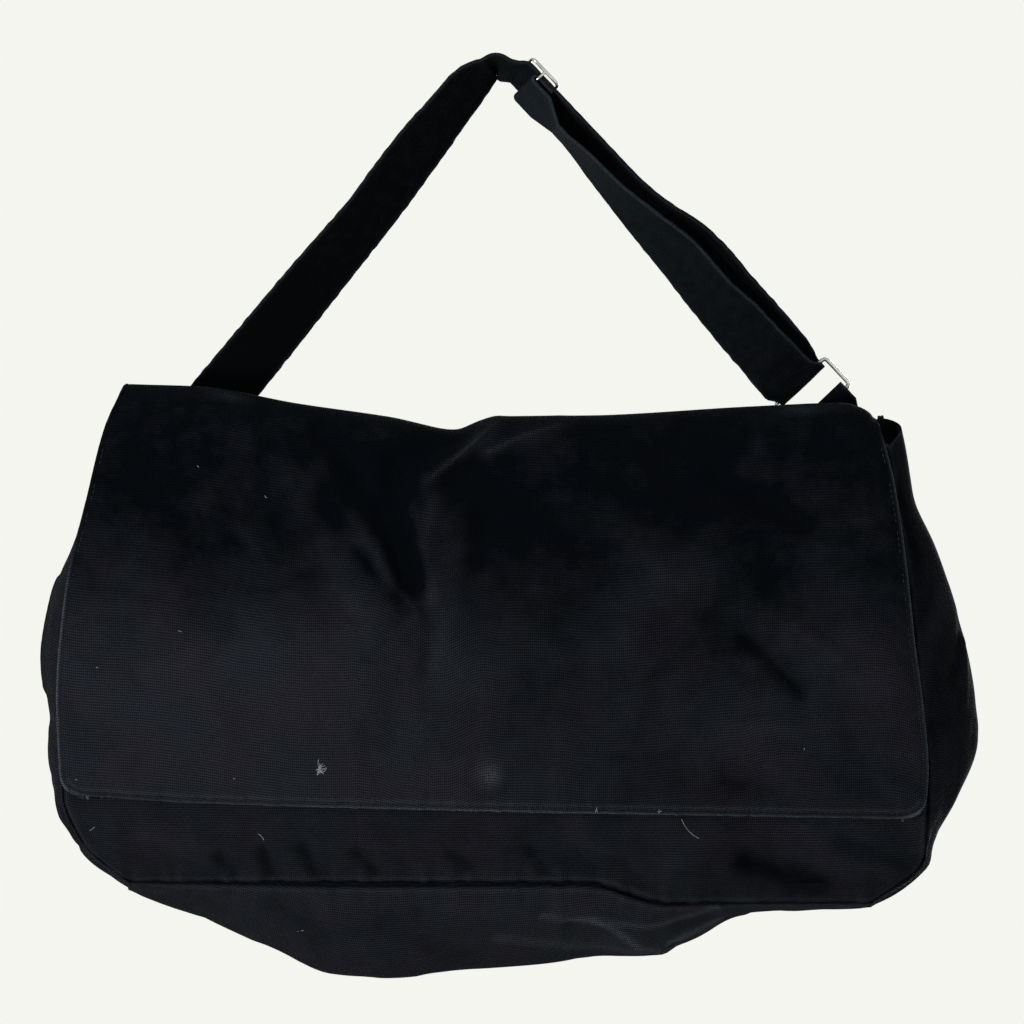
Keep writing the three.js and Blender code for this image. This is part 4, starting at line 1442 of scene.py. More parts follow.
    def build(self) -> list[bpy.types.Object]:
        """Build every piece of the strap, baking the webbing and the tab in place and attaching the
        rest.

        Returns:
            The pieces.
        """
        webbing = self.main_webbing()
        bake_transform(webbing)
        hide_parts("strap_webbing", "left_strap_anchor")
        layer = self.return_layer()
        ring_place = RIGHT_RUN.at(self.ring_at) * MM
        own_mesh(layer)
        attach(layer, "strap")
        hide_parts("strap_return_layer")
        tab = self.tab()
        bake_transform(tab)
        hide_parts("ring_tab", "right_tab_anchor")
        ring, slider = self.ring(), self.slider()
        for piece, body, cad in ((ring, "ring", "rectangular_ring"),
                                 (slider, "slider", "slider_frame")):
            dress(piece, self.wardrobe.nickel)
            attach(piece, body)
            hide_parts(cad)
        pieces = [webbing, layer, tab, ring, slider]
        for end in self.sewn_ends():
            stitches = self.box_stitches(end)
            dress(stitches, self.wardrobe.thread)
            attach(stitches, "bag")
            pieces.append(stitches)
        return pieces


@dataclass
class BagBody:
    """The sewn shell: two panels, two gussets, the base and what is sewn inside."""

    wardrobe: Wardrobe
    thread: Thread
    thickness: float = 1.8
    pitch: float = 2.3
    panel_size: Pair = (460.0, 240.0)
    base_size: Pair = (410.0, 130.0)  # along the rim, and from front to back
    gusset_size: Pair = (250.0, 110.0)
    roll: float = 1.2  # how far a panel's edge sinks into its seam
    strip_roll: float = 0.5  # and a strip's edge
    roll_width: float = 1.7
    seam_shade_width: float = 0.9  # of the dark line in each seam: painted shade of its hollow, and dye that has not faded there
    rub_line: Pair = (2.4, 1.2)  # pale line beside a seam: how far off, how wide
    snap_at: Pair = (-3.8, -386.0)  # x and z
    snap_quiet: float = 22.0  # no folds nearer to the snap than about this
    shown_base: Pair = (0.55, 0.45)  # the base's front half, which is seen
    turn_in: tuple[float, ...] = (6.0, 4.0, 2.0, 0.7)  # how far a strip's edge turns inwards
    turned_behind: float = 2.6  # how far behind a panel's face the turned edge lies
    shoulder: float = 13.0  # how far the back's right corner is lifted above its top edge
    shoulder_across: Pair = (190.0, 208.0)
    shoulder_depth: float = 35.0
    # How far the right gusset's top is lifted, from its front edge (0) to its back edge (1).
    right_rim: Curve = Curve((0, 5), (0.25, 8.5), (0.5, 9.8), (1, 13))
    rim_lift: Pair = (2.86, 3.0)  # places along the rim
    turn_eased: Pair = (2.88, 2.96)  # where a strip's edges come to turn in less
    sewn_inside: float = 2.3  # from a panel's outer face to what is sewn on its inside
    facing_inside: float = 2.1
    tape_start: float = 4.3  # from the rim to the tape
    tape_width: float = 7.0
    tape_bulge: float = 0.4
    tape_ends: Pair = (0.22, 2.78)  # places along the rim
    stitch_rows: tuple[tuple[Side, float], ...] = (  # panel, and share of its height
        (Side.FRONT, 0.018), (Side.FRONT, 0.108), (Side.BACK, 0.02), (Side.BACK, 0.034))
    foot_puckers: Puckers = Puckers(seed=31, pitch=15, height=0.9, reach=9)
    side_puckers: Puckers = Puckers(seed=32, pitch=13, height=0.6, reach=8)
    front_tone: float = 0.66
    back_tone: float = 0.5
    strip_tones: tuple[float, float, float] = (0.5, 0.85, 0.26)  # left, base and right
    front_folds: tuple[Fold, ...] = (
        Fold(((-151, -432), (-144, -441)), 2.2, 3.2),
        Fold(((-127.5, -428), (-122.6, -441)), 2.5, 3.0),
        Fold(((-105.7, -426), (-98, -442)), 2.7, 3.4),
        Fold(((-76.3, -430), (-65.4, -440)), 2.5, 3.4),
        Fold(((-25.6, -430), (-14.7, -437)), 1.8, 3.0),
        Fold(((18, -428), (27, -439)), 1.9, 3.2),
        Fold(((135, -435), (176, -447)), 4.0, 7.0),
        Fold(((45, -431), (80, -446)), 1.0, 6.0),
        Fold(((-190, -418), (-160, -428)), -1.3, 7.0),
        Fold(((190, -425), (226, -436)), 1.6, 6.0),
    )
    base_creases: tuple[Fold, ...] = (  # where folds in the base have been rubbed pale
        Fold(((24, -464), (53, -465), (80, -480), (98, -483)), 0.5, 1.3),
        Fold(((92, -478), (122, -466)), 0.7, 1.1),
        Fold(((52, -466), (84, -470), (120, -459)), 0.3, 1.5),
        Fold(((0, -476), (38, -480), (80, -482)), 0.2, 2.5),
    )
    base_folds: tuple[Fold, ...] = (
        Fold(((36, -461), (78, -476)), -2.6, 6.0),
        Fold(((68.7, -478), (94, -483)), -2.0, 5.0),
        Fold(((90, -478), (136, -465)), -2.6, 5.0),
        Fold(((-60, -470), (-20, -486)), 1.6, 9.0),
        Fold(((-120, -458), (-95, -478)), 1.4, 7.0),
        Fold(((40, -468), (95, -478)), 1.8, 4.0),
        Fold(((100, -470), (150, -462)), 1.8, 4.0),
    )
    pale_streaks: tuple[Fold, ...] = (  # paler streaks on the right gusset, where it bulges
        Fold(((229, -351), (234, -316), (246, -284)), 0.45, 5.0),
        Fold(((240, -400), (245, -370)), 0.25, 7.0),
    )
    lint: Lint = (
        (105.2, -415.8, 13.0, 1), (-128.6, -420.2, 5.0, 1), (-220.7, -415.8, 4.0, 1))
    base_lint: Lint = ((-107.4, -472.0, 4.0, 1),)
    made: list[bpy.types.Object] = field(default_factory=list)

    def panel_grid(self, side: Side) -> tuple[Array, dict[str, Array]]:
        """Return a panel's places with its folds, and its finish values.

        Args:
            side: which panel.

        Returns:
            The places, and the values by attribute name.
        """
        u, v = np.meshgrid(*(graded(size, self.pitch) for size in self.panel_size))
        places = FORM.panel(side, u, v)
        x, z = places[..., 0], places[..., 2]
        sides = np.minimum(u, 1 - u) * (FORM.right_edge(z) - FORM.left_edge(z))
        foot = (1 - v) * (z[0] - z[-1])[None]
        seam = np.minimum(sides, foot)
        draw = Creases(21 if side is Side.FRONT else 22, 46, (-215, 215), (-440, -225), (14, 60),
                       1.0, 9.0)
        folds = draw.folds() + (list(self.front_folds) if side is Side.FRONT else [])
        reach = np.hypot(x - self.snap_at[0], z - self.snap_at[1]) / self.snap_quiet
        snap = 1 - np.exp(-(reach ** 4)) if side is Side.FRONT else 1.0
        sink = sunk(folds, x, z) * snap * ease(foot / 6 + 0.3)
        sink += self.roll * ridge(seam, self.roll_width)
        sink -= self.foot_puckers.at(x, foot) + self.side_puckers.at(z, sides)
        rubbed = 0.12 * ridge(seam - self.rub_line[0], self.rub_line[1])
        edge = v * (z[0] - z[-1])[None]
        rubbed += 0.5 * np.exp(-edge / 1.5)
        places = places - facing_out(places) * sink[..., None]
        if side is Side.BACK:
            rise = self.shoulder * ramp(x, *self.shoulder_across)
            rise *= ramp(edge, self.shoulder_depth, 0)
            places[..., 1] += FORM.back_y(x, z + rise) - FORM.back_y(x, z)
            places[..., 2] += rise
        tone = self.front_tone if side is Side.FRONT else self.back_tone
        # painted shade in the folds' hollows and in each seam, painted light on the folds' ridges
        tone = tone - 0.15 * sink - 0.5 * ridge(seam, self.seam_shade_width)
        return places, {"tone": tone, "wear": rubbed}

    def strip_grid(self, strip: Strip) -> tuple[Array, dict[str, Array]]:
        """Return a gusset's or the base's places with its folds, and its finish values.

        Args:
            strip: which strip.

        Returns:
            The places, and the values by attribute name.
        """
        length, wide = self.base_size if strip is Strip.BASE else self.gusset_size
        s, t = np.meshgrid(graded(length, self.pitch) * 1.002 - 0.001 + strip.value,
                           graded(wide, self.pitch), indexing="ij")
        s = np.clip(s, 0, 3)
        places = FORM.strip(s, t)
        x, z = places[..., 0], places[..., 2]
        step = np.linalg.norm(np.diff(places, axis=1), axis=-1)
        across = np.c_[np.zeros(len(step)), np.cumsum(step, 1)]
        seam = np.minimum(across, across[:, -1:] - across)
        run = (s - strip.value) * length
        lean = (60.0, 120.0) if strip is Strip.BASE else (50.0, 130.0)
        deep = 1.1 if strip is Strip.BASE else 1.9
        draw = Creases(41 + strip.value, 40, (0, wide), (0, length), (16, 60), deep, 6.0, lean)
        sink = sunk(draw.folds(), across, run)
        if strip is Strip.BASE:
            sink += sunk(self.base_folds, x, z) * ramp(t, *self.shown_base)
        end = np.minimum(run, length - run)
        sink = sink * ease(seam / 7) * ease(end / 9 + 0.1)
        sink += self.strip_roll * ridge(seam, self.roll_width)
        sink -= Puckers(51 + strip.value, 14, 0.7, 10).at(run, seam) * ease(seam / 2)
        rubbed = 0.1 * ridge(seam - self.rub_line[0], self.rub_line[1])
        if strip is Strip.BASE:
            rubbed += sunk(self.base_creases, x, z) * ramp(t, *self.shown_base)
        else:
            rubbed += 0.4 * np.exp(-np.minimum(s, 3 - s) * length / 1.2)
        # painted shade in the folds' hollows and in each seam, painted light on the folds' ridges
        tone = self.strip_tones[strip.value] - 0.12 * sink
        tone -= 0.5 * ridge(seam, self.seam_shade_width)
        if strip is Strip.RIGHT:
            tone += sunk(self.pale_streaks, x, z) * (t < 0.6)
        places = places - facing_out(places) * sink[..., None]
        if strip is Strip.RIGHT:
            rise = self.right_rim(t) * ramp(s, *self.rim_lift)
            places[..., 1] += t * (FORM.back_y(x, z + rise) - FORM.back_y(x, z))
            places[..., 2] += rise
        places = self.turned_in(places, s[:, 0])
        spread = ((0, 0), (len(self.turn_in), len(self.turn_in)))
        shades = {"tone": tone, "wear": rubbed}
        return places, {name: np.pad(shade, spread, "edge") for name, shade in shades.items()}

    def turned_in(self, places: Array, s: Array) -> Array:
        """Return a strip with its two edges turned inwards behind the panels, as a seam has.

        Args:
            places: the strip's grid.
            s: place of each row along the rim.

        Returns:
            The grid with its turned edges, front first.
        """
        kept = 1 - 0.65 * ramp(s, *self.turn_eased)  # less beside the flap's seam
        inwards = -FORM.outward(s)[:, None] * np.multiply.outer(kept, self.turn_in)[..., None]
        front = places[:, :1] + inwards + AWAY * self.turned_behind
        back = places[:, -1:] + inwards[:, ::-1] - AWAY * self.turned_behind
        return np.concatenate([front, places, back], axis=1)

    def inner(self, name: str, places: Array, thickness: float) -> bpy.types.Object:
        """Make one lining piece from the grid of its side towards the outer cloth.

        Args:
            name: name of the piece.
            places: grid of places, rows by columns.
            thickness: its thickness in millimetres.

        Returns:
            The piece.
        """
        piece = cloth_grid(name, places, plain(places))
        dress(piece, self.wardrobe.lining)
        thicken(piece, thickness)
        return piece

    def facing(self) -> bpy.types.Object:
        """Model the hem facing inside the mouth.

        Returns:
            The facing.
        """
        u, v = np.meshgrid(np.linspace(0.0104, 0.9896, 160), np.linspace(0, 0.1204, 14))
        places = FORM.panel(Side.FRONT, u, v)
        places = places - facing_out(places) * self.facing_inside
        return self.inner("mouth_hem_facing", places, self.thickness)

    def binding(self, side: Side) -> bpy.types.Object:
        """Model the tape sewn over a panel's seam, inside.

        Args:
            side: which panel.

        Returns:
            The tape.
        """
        s, v = np.meshgrid(np.linspace(*self.tape_ends, 260), np.linspace(0, 1, 7), indexing="ij")
        places = FORM.rim(side, s)
        places = places - FORM.outward(s) * (self.tape_start + self.tape_width * v)[..., None]
        x, z = places[..., 0], places[..., 2]
        face, inwards = (FORM.front_y, 1) if side is Side.FRONT else (FORM.back_y, -1)
        bulge = self.tape_bulge * np.sin(np.pi * v)
        places[..., 1] = face(x, z) + inwards * (self.sewn_inside + bulge)
        return self.inner(f"{side.value}_seam_tape", places, 1.0)

    def patch(self, end: SewnEnd, strap: ShoulderStrap) -> bpy.types.Object:
        """Model a patch inside the back panel behind a sewn end.

        Args:
            end: the sewn end.
            strap: the strap.

        Returns:
            The patch.
        """
        band = strap.sewn_band(end)
        first = 22  # the station where the patch starts, below the back panel's top edge
        band = Band(band.centre[first:], band.across[first:], band.half[first:])
        places = band.grid(cup=0.0)
        places[..., 1] = FORM.back_y(places[..., 0], places[..., 2]) - self.sewn_inside
        return self.inner(f"{end.side}_inner_patch", places, self.thickness)

    def seam_rows(self) -> bpy.types.Object:
        """Sew the hem of the mouth and the row that holds the flap to the back panel.

        Returns:
            The stitches.
        """
        rows = []
        for side, level in self.stitch_rows:
            u = np.linspace(0.012, 0.988, 240)
            path = FORM.panel(side, u, np.full_like(u, level))
            out = AWAY * (1 if side is Side.BACK else -1)
            rows.append((path + out * 0.25, np.tile(out, (len(u), 1))))
        return self.thread.sew("mouth_and_flap_stitching", rows)

    def build(self, strap: ShoulderStrap) -> list[bpy.types.Object]:
        """Build and attach every piece of the body.

        Args:
            strap: the strap, whose sewn ends the inner patches follow.

        Returns:
            The pieces.
        """
        for side in Side:
            places, shades = self.panel_grid(side)
            piece = cloth_grid(f"{side.value}_panel_cloth", places, shades)
            dress(piece, self.wardrobe.canvas, self.wardrobe.lining)
            thicken(piece, self.thickness, lined=True)
            self.attach(piece, "canvas", f"{side.value}_panel")
            if side is Side.FRONT:
                fibres = clinging(places, self.lint, 84)
        names = {Strip.LEFT: "left_gusset", Strip.BASE: "base_panel", Strip.RIGHT: "right_gusset"}
        for strip, node_name in names.items():
            places, shades = self.strip_grid(strip)
            piece = cloth_grid(f"{node_name}_cloth", places, shades)
            dress(piece, self.wardrobe.canvas_upright if strip is Strip.BASE else
                  self.wardrobe.canvas, self.wardrobe.lining)
            thicken(piece, self.thickness, lined=True)
            self.attach(piece, "canvas", node_name)
            if strip is Strip.BASE:
                fibres += clinging(places, self.base_lint, 85)
        self.attach(lint_piece("body_lint_fibres", fibres, self.wardrobe), "canvas")
        self.attach(self.facing(), "canvas", "mouth_facing")
        for side in Side:
            self.attach(self.binding(side), "lining", f"{side.value}_seam_binding")
        for end in strap.sewn_ends():
            self.attach(self.patch(end, strap), "canvas", f"{end.side}_anchor_patch")
        stitches = self.seam_rows()
        dress(stitches, self.wardrobe.thread)
        self.attach(stitches, "canvas")
        return self.made

    def attach(self, piece: bpy.types.Object, slot: str, *nodes: str) -> None:
        """Let a piece ride on the bag and stand for its CAD nodes.

        Args:
            piece: the piece.
            slot: not used.
            nodes: the CAD nodes that it stands for.
        """
        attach(piece, "bag")
        if nodes:
            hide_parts(*nodes)
        self.made.append(piece)


def clinging(places: Array, lint: Lint, seed: int
             ) -> list[tuple[Array, Array]]:
    """Return short bent fibres that lie on the front of a shaped cloth.

    Args:
        places: the cloth's grid.
        lint: x, z, size and number of fibres of each bit of lint.
        seed: seed of the fibres' turns and bends.

    Returns:
        The fibres as rows of places and outward directions.
    """
    draw = np.random.default_rng(seed)
    flat_cloth = places.reshape(-1, 3)
    rows = []
    for x, z, size, count in lint:
        for angle in draw.uniform(0, np.pi, count):
            half = size * draw.uniform(0.25, 0.55) * np.array([-1.0, -0.5, 0.0, 0.5, 1.0])
            bow = draw.uniform(-0.2, 0.2) * size * np.array([0.0, 0.75, 1.0, 0.75, 0.0])
            middle = np.array([x, z]) + draw.normal(0, 0.12 * size, 2) * (count > 1)
            way = np.array([math.cos(angle), math.sin(angle)])
            flat = middle + np.multiply.outer(half, way) + np.multiply.outer(
                bow, np.array([-way[1], way[0]]))
            gap = np.hypot(flat[:, :1] - flat_cloth[:, 0], flat[:, 1:] - flat_cloth[:, 2])
            depth = flat_cloth[np.argmin(gap + 0.02 * flat_cloth[:, 1], axis=1), 1]
            path = np.stack([flat[:, 0], depth - 0.3, flat[:, 1]], -1)
            rows.append((path, np.tile(-AWAY, (len(path), 1))))
    return rows


def lint_piece(name: str, fibres: Sequence[tuple[Array, Array]],
               wardrobe: Wardrobe) -> bpy.types.Object:
    """Make bits of lint from fine short fibres.

    Args:
        name: name of the piece.
        fibres: rows of places and outward directions.
        wardrobe: the finishes.

    Returns:
        All the fibres as one piece.
    """
    piece = Thread(length=1.5, pitch=0.8, thickness=0.42).sew(name, fibres)
    dress(piece, wardrobe.lint)
    return piece


def from_sides(places: Array, u: Array) -> Array:
    """Return each place's distance from the nearer side edge, at shares `u` across."""
    return np.minimum(u, 1 - u) * (places[..., -1:, 0] - places[..., :1, 0])


@dataclass
class Flap:
    """The flap: a top over the mouth, and the hanging front with its hem."""

    wardrobe: Wardrobe
    thread: Thread
    thickness: float = 2.45
    pitch: float = 2.1
    cut_depth: float = -30.0  # where the top cloth ends and the hanging cloth starts
    hem_stitch: float = 2.8
    width: float = 420.0  # this and the next only set the grid's steps
    drop: float = 200.0
    seam_inset: float = 5.0  # how far its right corner draws in at the seam, inside the gusset
    snap_at: Pair = (-3.8, -386.4)  # x and z
    snap_quiet: float = 26.0  # few folds nearer to the snap than about this
    snap_disc: Pair = (10.2, 7.8)  # radii between which a disc that stands up ends
    strap_rubs: tuple[Pair, ...] = ((-146.0, 16.0), (165.0, 20.0))  # x, and width
    pale_right: float = 0.52  # how pale the flap is painted at its right, lower down: painted light
    pale_left: float = 1.03  # and at its left
    folds: tuple[Fold, ...] = (
        Fold(((-95, -199), (-75, -226), (-55, -251), (-46, -279)), 3.2, 6.0),
        Fold(((-22, -199), (-53, -217), (-57, -247), (-46, -279)), 4.6, 8.0),
        Fold(((-75, -265), (-49, -297)), 2.2, 3.2),
        Fold(((-45, -282), (-36, -310), (-40, -330)), 1.4, 4.0),
        Fold(((-88, -236), (-66, -262), (-58, -284)), -1.6, 4.5),
        Fold(((-34, -236), (-40, -262), (-33, -290)), -1.8, 4.5),
        Fold(((-35, -224), (0, -195)), -2.4, 5.0),
        Fold(((-5, -210), (34, -196)), -1.8, 5.0),
        Fold(((-112, -228), (-92, -262), (-74, -296)), -1.5, 10.0),
        Fold(((-24, -252), (-30, -296), (-22, -330)), -1.2, 11.0),
        Fold(((-4, -246), (-12, -268)), 1.3, 6.0),
        Fold(((102, -197), (132, -208)), 1.4, 5.0),
        Fold(((118, -222), (168, -252)), 1.8, 6.0),
        Fold(((135, -313), (166, -343)), 2.2, 3.6),
        Fold(((150, -298), (186, -322)), -1.2, 4.0),
        Fold(((40, -225), (95, -240), (150, -236)), 1.3, 7.0),
        Fold(((141, -300), (176, -330)), -1.3, 8.0),
        Fold(((123, -389), (149, -396)), 1.2, 5.0),
        Fold(((-190, -230), (-150, -300)), 1.2, 16.0),
        Fold(((60, -262), (30, -330), (20, -360)), 1.5, 20.0),
        Fold(((-150, -340), (-60, -385)), 1.0, 18.0),
        Fold(((170, -262), (205, -330)), -1.6, 18.0),
    )
    rubbed_creases: tuple[Fold, ...] = (  # thin lines where folds have been rubbed pale
        Fold(((-35, -224), (-20, -211), (0, -195)), 0.17, 0.8),
        Fold(((-6, -211), (12, -203), (34, -196.5)), 0.15, 0.8),
        Fold(((-4, -386), (-3.4, -386.4)), 0.42, 5.5),
    )
    lint: Lint = (
        (-95.4, -383.1, 7.0, 11), (-172.2, -307.9, 1.6, 1), (-217.5, -327.5, 1.6, 1),
        (-142.8, -388.0, 1.4, 1), (-125.4, -234.9, 1.4, 1), (-162.4, -218.5, 1.0, 1),
        (-228.9, -388.6, 1.3, 1), (167.0, -372.0, 1.0, 1), (54.0, -405.4, 2.6, 2),
        (88.3, -405.8, 2.2, 2))

    def relief(self, x: Array, z: Array) -> Array:
        """Return how far the flap's cloth sinks, folds and snap included.

        Args:
            x: places across.
            z: their levels.

        Returns:
            The depth at each place.
        """
        fine = Creases(61, 90, (-235, 235), (-405, -200), (10, 48), 0.75, 5.5).folds()
        broad = Creases(62, 16, (-220, 220), (-390, -215), (60, 120), 1.5, 24.0).folds()
        medium = Creases(63, 30, (-225, 225), (-395, -212), (24, 70), 1.1, 11.0).folds()
        sink = 1.3 * sunk(self.folds, x, z) + sunk((*broad, *medium, *fine), x, z)
        reach = np.hypot(x - self.snap_at[0], z - self.snap_at[1])
        quiet = 1 - 0.8 * np.exp(-((reach / self.snap_quiet) ** 4))
        disc = 0.55 * ramp(reach, *self.snap_disc) - 0.35 * ridge(reach - 11.6, 1.6)
        return np.clip(sink * quiet, -5.5, 5.6) - disc

    def edge_relief(self, along: Array, away: Array, seed: int, depth: float) -> Array:
        """Return how far the cloth sinks beside a stitched edge.

        Args:
            along: distance along the edge.
            away: distance from the edge.
            seed: seed of the puckers.
            depth: depth of the groove under the stitches.

        Returns:
            The depth at each place.
        """
        groove = depth * ridge(away - self.hem_stitch, 0.75)
        rounding = 0.7 * ridge(away, 0.8)
        puff = 0.2 * ridge(away - 1.4, 0.9)
        return groove + rounding - puff - Puckers(seed, 11, 0.6, 9).at(along, away)

    def shaped(self, places: Array, sides: Array, foot: Array) -> tuple[Array, dict[str, Array]]:
        """Return the flap's places with folds and edges, and its finish values.

        Args:
            places: grid of places on the smooth flap.
            sides: distance of each from the nearer side edge.
            foot: distance of each from the hem.

        Returns:
            The places and the finish values.
        """
        x, y, z = places[..., 0], places[..., 1], places[..., 2]
        outwards = facing_out(places)
        upturned = np.clip(outwards[..., 2], 0, 1)
        quiet = ramp(y, -8, -22) * (1 - 0.75 * upturned ** 2)  # so the outline stays
        edges = ease(np.minimum(sides, foot) / 14 + 0.25)
        folded = self.relief(x, z) * quiet * edges
        sink = folded + self.edge_relief(z, sides, 71, 0.2) * ramp(y, -6.6, -12.6)
        sink += self.edge_relief(x, foot, 72, 0.45)
        shown = ramp(z, -250, -300) * (x < 0) + ramp(z, -195, -207) * (x > 0)
        rubbed = 0.8 * ridge(sides, 0.9) * shown + ridge(foot, 1.0) + 0.2 * ridge(foot - 4.2, 1.0)
        rubbed += sunk(self.rubbed_creases, x, z) * quiet
        by_strap = sum(ramp(np.abs(x - middle), width, 0) for middle, width in self.strap_rubs)
        rubbed += 0.2 * by_strap * ramp(upturned, 0.5, 0.8) * ramp(y, -30, -38)
        # painted light: the flap is painted paler lower down, and more so at its left
        rightwards = ramp(x, -110, 100)
        painted_light_from = mix(-220, -238, rightwards)
        tone = mix(self.pale_left, self.pale_right, rightwards)
        tone *= ramp(z, painted_light_from, painted_light_from - 135)
        # painted shade in the folds' hollows, painted light on their ridges
        tone += 0.05 - 0.13 * folded
        places = places - outwards * sink[..., None]
        return places, {"tone": tone, "wear": np.clip(rubbed, 0, 1)}

    def top_places(self) -> tuple[Array, dict[str, Array]]:
        """Return the top cloth, from inside the back panel's edge to the cut on the arch.

        Returns:
            The places and the finish values.
        """
        u = graded(self.width, self.pitch)
        cut = FORM.arch_cut(u, self.cut_depth)
        rows = np.linspace(0, 1, 26)[:, None]
        grid_u = np.broadcast_to(u, (len(rows), len(u)))
        arch = FORM.over_mouth(grid_u, rows * cut)
        sewn = np.repeat(arch[:1], 5, axis=0)
        sewn[..., 2] -= np.linspace(9, 1.5, 5)[:, None]
        places = np.concatenate([sewn, arch])
        x, y = places[..., 0], places[..., 1]
        places[..., 0] = x - self.seam_inset * ramp(y, -20, -10) * ramp(x, 180, 208)
        sides = from_sides(places, u)
        return self.shaped(places, sides, np.full_like(sides, 1e3))

    def front_places(self) -> tuple[Array, dict[str, Array]]:
        """Return the hanging cloth, from the cut on the arch to the hem.

        Returns:
            The places and the finish values.
        """
        u = graded(self.width, self.pitch)
        cut = FORM.arch_cut(u, self.cut_depth)
        rows = np.linspace(0, 1, 15)[:-1, None]
        arch = FORM.over_mouth(np.broadcast_to(u, (len(rows), len(u))), mix(cut, 1.0, rows))
        v = graded(self.drop, self.pitch, (False, True))
        grid_u, grid_v = np.meshgrid(u, v)
        hanging = FORM.hanging(grid_u, grid_v)
        places = np.concatenate([arch, hanging])
        sides = from_sides(places, u)
        foot = places[..., 2] - hanging[-1, :, 2]
        corner = np.maximum(FORM.corner - sides, 0), np.maximum(FORM.corner - foot, 0)
        foot = np.where((corner[0] > 0) & (corner[1] > 0), np.maximum(
            FORM.corner - np.hypot(*corner), 0), foot)
        return self.shaped(places, sides, foot)

    def front_at(self, x: Array, z: Array) -> Array:
        """Return places on the hanging cloth's outer face, folds included."""
        y = FORM.flap_y(x, z) + self.relief(x, z) * 0.8
        return np.stack([x, y, z], -1)

    def hem_row(self) -> tuple[Array, Array]:
        """Return the row of stitches down the sides and along the hem.

        Returns:
            The row's places and the cloth's outward directions.
        """
        inset, corner = self.hem_stitch, FORM.corner
        radius = corner - inset
        down = np.linspace(FORM.fold_level, -386, 90)
        left = np.stack([FORM.flap_left(down) + inset, down], -1)
        right = np.stack([FORM.flap_right(down) - inset, down], -1)[::-1]
        turn = np.linspace(0, np.pi / 2, 9)
        foot_left, foot_right = FORM.hem(-228.0), FORM.hem(224.0)
        centre_left = np.array([FORM.flap_left(foot_left + corner) + corner, foot_left + corner])
        centre_right = np.array([FORM.flap_right(foot_right + corner) - corner,
                                 foot_right + corner])
        round_left = centre_left - radius * np.stack([np.cos(turn), np.sin(turn)], -1)
        round_right = centre_right + radius * np.stack([np.sin(turn), -np.cos(turn)], -1)
        x = np.linspace(centre_left[0] + 1, centre_right[0] - 1, 200)
        foot = np.stack([x, FORM.hem(x) + inset], -1)
        flat = np.concatenate([left, round_left, foot, round_right, right])
        path = self.front_at(flat[:, 0], flat[:, 1]) + np.array([0, 0.25, 0])
        return path, np.tile(-AWAY, (len(path), 1))

    def build(self) -> list[bpy.types.Object]:
        """Build every piece of the flap, with its place baked into its mesh.

        Returns:
            The pieces.
        """
        top = cloth_grid("flap_top_cloth", *self.top_places())
        front_places, front_shades = self.front_places()
        front = cloth_grid("flap_front_cloth", front_places, front_shades)
        for piece in (top, front):
            dress(piece, self.wardrobe.canvas, self.wardrobe.lining)
            thicken(piece, self.thickness, lined=True)
        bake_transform(top)
        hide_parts("flap_top_outer", "flap_top_lining")
        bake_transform(front)
        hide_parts("flap_front_outer", "flap_front_lining")
        stitches = self.thread.sew("flap_hem_stitching", [self.hem_row()])
        dress(stitches, self.wardrobe.thread)
        fibres = lint_piece("flap_lint_fibres", clinging(front_places, self.lint, 81),
                            self.wardrobe)
        for piece in (stitches, fibres):
            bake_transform(piece)
        return [top, front, stitches, fibres]


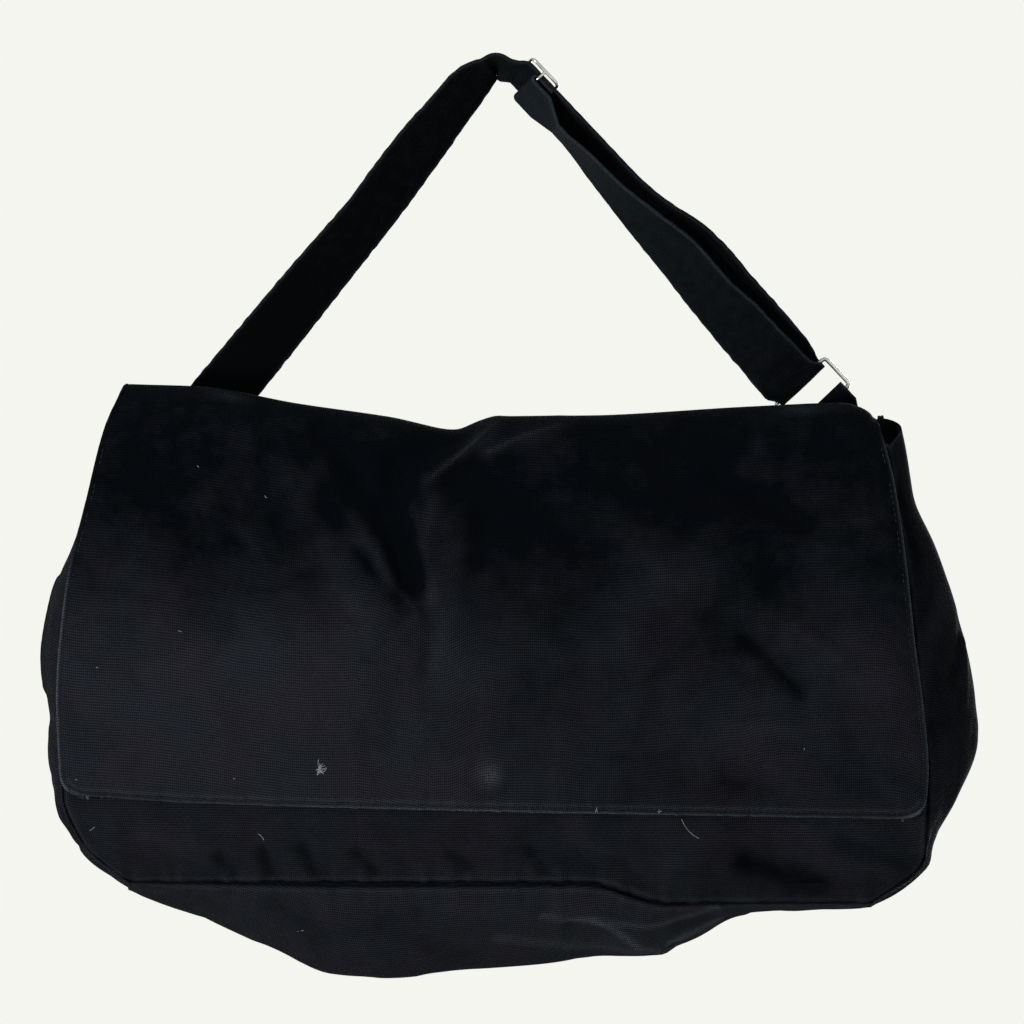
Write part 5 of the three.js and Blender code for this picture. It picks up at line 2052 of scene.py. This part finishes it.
@dataclass
class Studio:
    """A pale studio: backdrop, floor, soft lamps and the camera."""

    wall: str = "#f5f5f0"
    floor_level: float = -0.70
    floor_size: float = 3.0
    distance: float = 8.0
    view_centre: Pair = (0.008175, -0.24307)
    view_width: float = 0.55808
    view_depth: float = -0.02  # where the view is true to size
    sensor: float = 36.0

    def world(self) -> None:
        """Make the world pale to the camera and to gloss, and a plain soft light for the rest."""
        world = bpy.data.worlds.new("pale_studio")
        bpy.context.scene.world = world
        world.use_nodes = True
        world.node_tree.nodes.clear()
        add = partial(node, world.node_tree)
        seen = add("Background", {"Color": linear(self.wall), "Strength": 1.0})
        light = add("Background", {"Color": linear("#f2f4f8"), "Strength": 0.2})
        rays = add("LightPath", {})
        shown = add("Math", {"operation": "MAXIMUM"}, {
            0: rays.outputs["Is Camera Ray"], 1: rays.outputs["Is Glossy Ray"]})
        shown = add("Math", {"operation": "MAXIMUM"}, {
            0: shown.outputs[0], 1: rays.outputs["Is Transmission Ray"]})
        both = add("MixShader", {}, {
            0: shown.outputs[0], 1: light.outputs[0], 2: seen.outputs[0]})
        add("OutputWorld", {}, {"Surface": both.outputs[0]})

    def floor(self) -> None:
        """Lay the floor below the hanging bag."""
        deselect()
        bpy.ops.mesh.primitive_plane_add(size=self.floor_size, location=(0, 0, self.floor_level))
        plane = bpy.context.object
        plane.name = "studio_floor"
        material, add = blank_material("matt_studio_paper")
        place = add("TexCoord", {}).outputs["Object"]
        grain = add("TexNoise", {"Scale": 900.0}, {"Vector": place})
        relief = add("Bump", {"Strength": 0.1, "Distance": 0.2 * MM},
                      {"Height": grain.outputs["Fac"]})
        shader = add("BsdfPrincipled", {
            "Base Color": linear(self.wall), "Roughness": 0.9}, {"Normal": relief.outputs[0]})
        add("OutputMaterial", {}, {"Surface": shader.outputs[0]})
        dress(plane, material)

    def lamps(self) -> None:
        """Hang three soft lamps: a low key at the front left, a fill, and one behind."""
        for name, place, aim, power, size in (
                ("key_lamp", (-2.3, -2.4, -0.75), (0, 0, -0.3), 105.0, 0.7),
                ("fill_lamp", (1.8, -2.8, 0.7), (0, 0, -0.3), 18.0, 1.4),
                ("back_lamp", (0.9, 2.8, 0.0), (0, 0, -0.3), 60.0, 1.2)):
            data = bpy.data.lights.new(name, "AREA")
            data.energy, data.size = power, size
            lamp = bpy.data.objects.new(name, data)
            bpy.context.collection.objects.link(lamp)
            lamp.location = place
            way = np.array(aim) - np.array(place)
            flat = math.hypot(way[0], way[1])
            lamp.rotation_euler = (math.pi / 2 + math.atan2(way[2], flat), 0,
                                   math.atan2(-way[0], way[1]))

    def camera(self) -> None:
        """Stand the camera straight in front, far off, where the photograph was taken."""
        data = bpy.data.cameras.new("camera")
        data.sensor_width = self.sensor
        data.lens = self.sensor * (self.distance + self.view_depth) / self.view_width
        camera = bpy.data.objects.new("camera", data)
        bpy.context.collection.objects.link(camera)
        camera.location = (self.view_centre[0], -self.distance, self.view_centre[1])
        camera.rotation_euler = (math.pi / 2, 0, 0)
        data.clip_end = 50
        bpy.context.scene.camera = camera

    def build(self) -> None:
        """Build the whole studio, with the scene's plain view transform."""
        bpy.context.scene.view_settings.view_transform = "Standard"
        self.world()
        self.floor()
        self.lamps()
        self.camera()


def dress_snap(wardrobe: Wardrobe) -> list[bpy.types.Object]:
    """Give the snap's CAD nodes their metal.

    Args:
        wardrobe: the finishes.

    Returns:
        The nodes' pieces.
    """
    nodes = ("flap_snap_stud", "body_snap_socket", "flap_snap_washer", "body_snap_washer")
    pieces = [bpy.data.objects[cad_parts[name].name] for name in nodes]
    for piece in pieces:
        dress(piece, wardrobe.nickel)
    return pieces


def report(group: str, pieces: Sequence[bpy.types.Object]) -> None:
    """Log each piece of a group by its name."""
    for piece in pieces:
        LOG.info("%s: %s", group, piece.name)


def main() -> None:
    """Build the bag piece by piece in its studio."""
    logging.basicConfig(level=logging.INFO, format="%(message)s")
    Studio().build()
    LOG.info("studio: world, floor, lamps and camera")
    wardrobe, thread = Wardrobe(), Thread()
    strap = ShoulderStrap(wardrobe, thread)
    report("strap", strap.build())
    report("body", BagBody(wardrobe, thread).build(strap))
    report("flap", Flap(wardrobe, thread).build())
    report("snap", dress_snap(wardrobe))


if __name__ == "__main__":
    main()
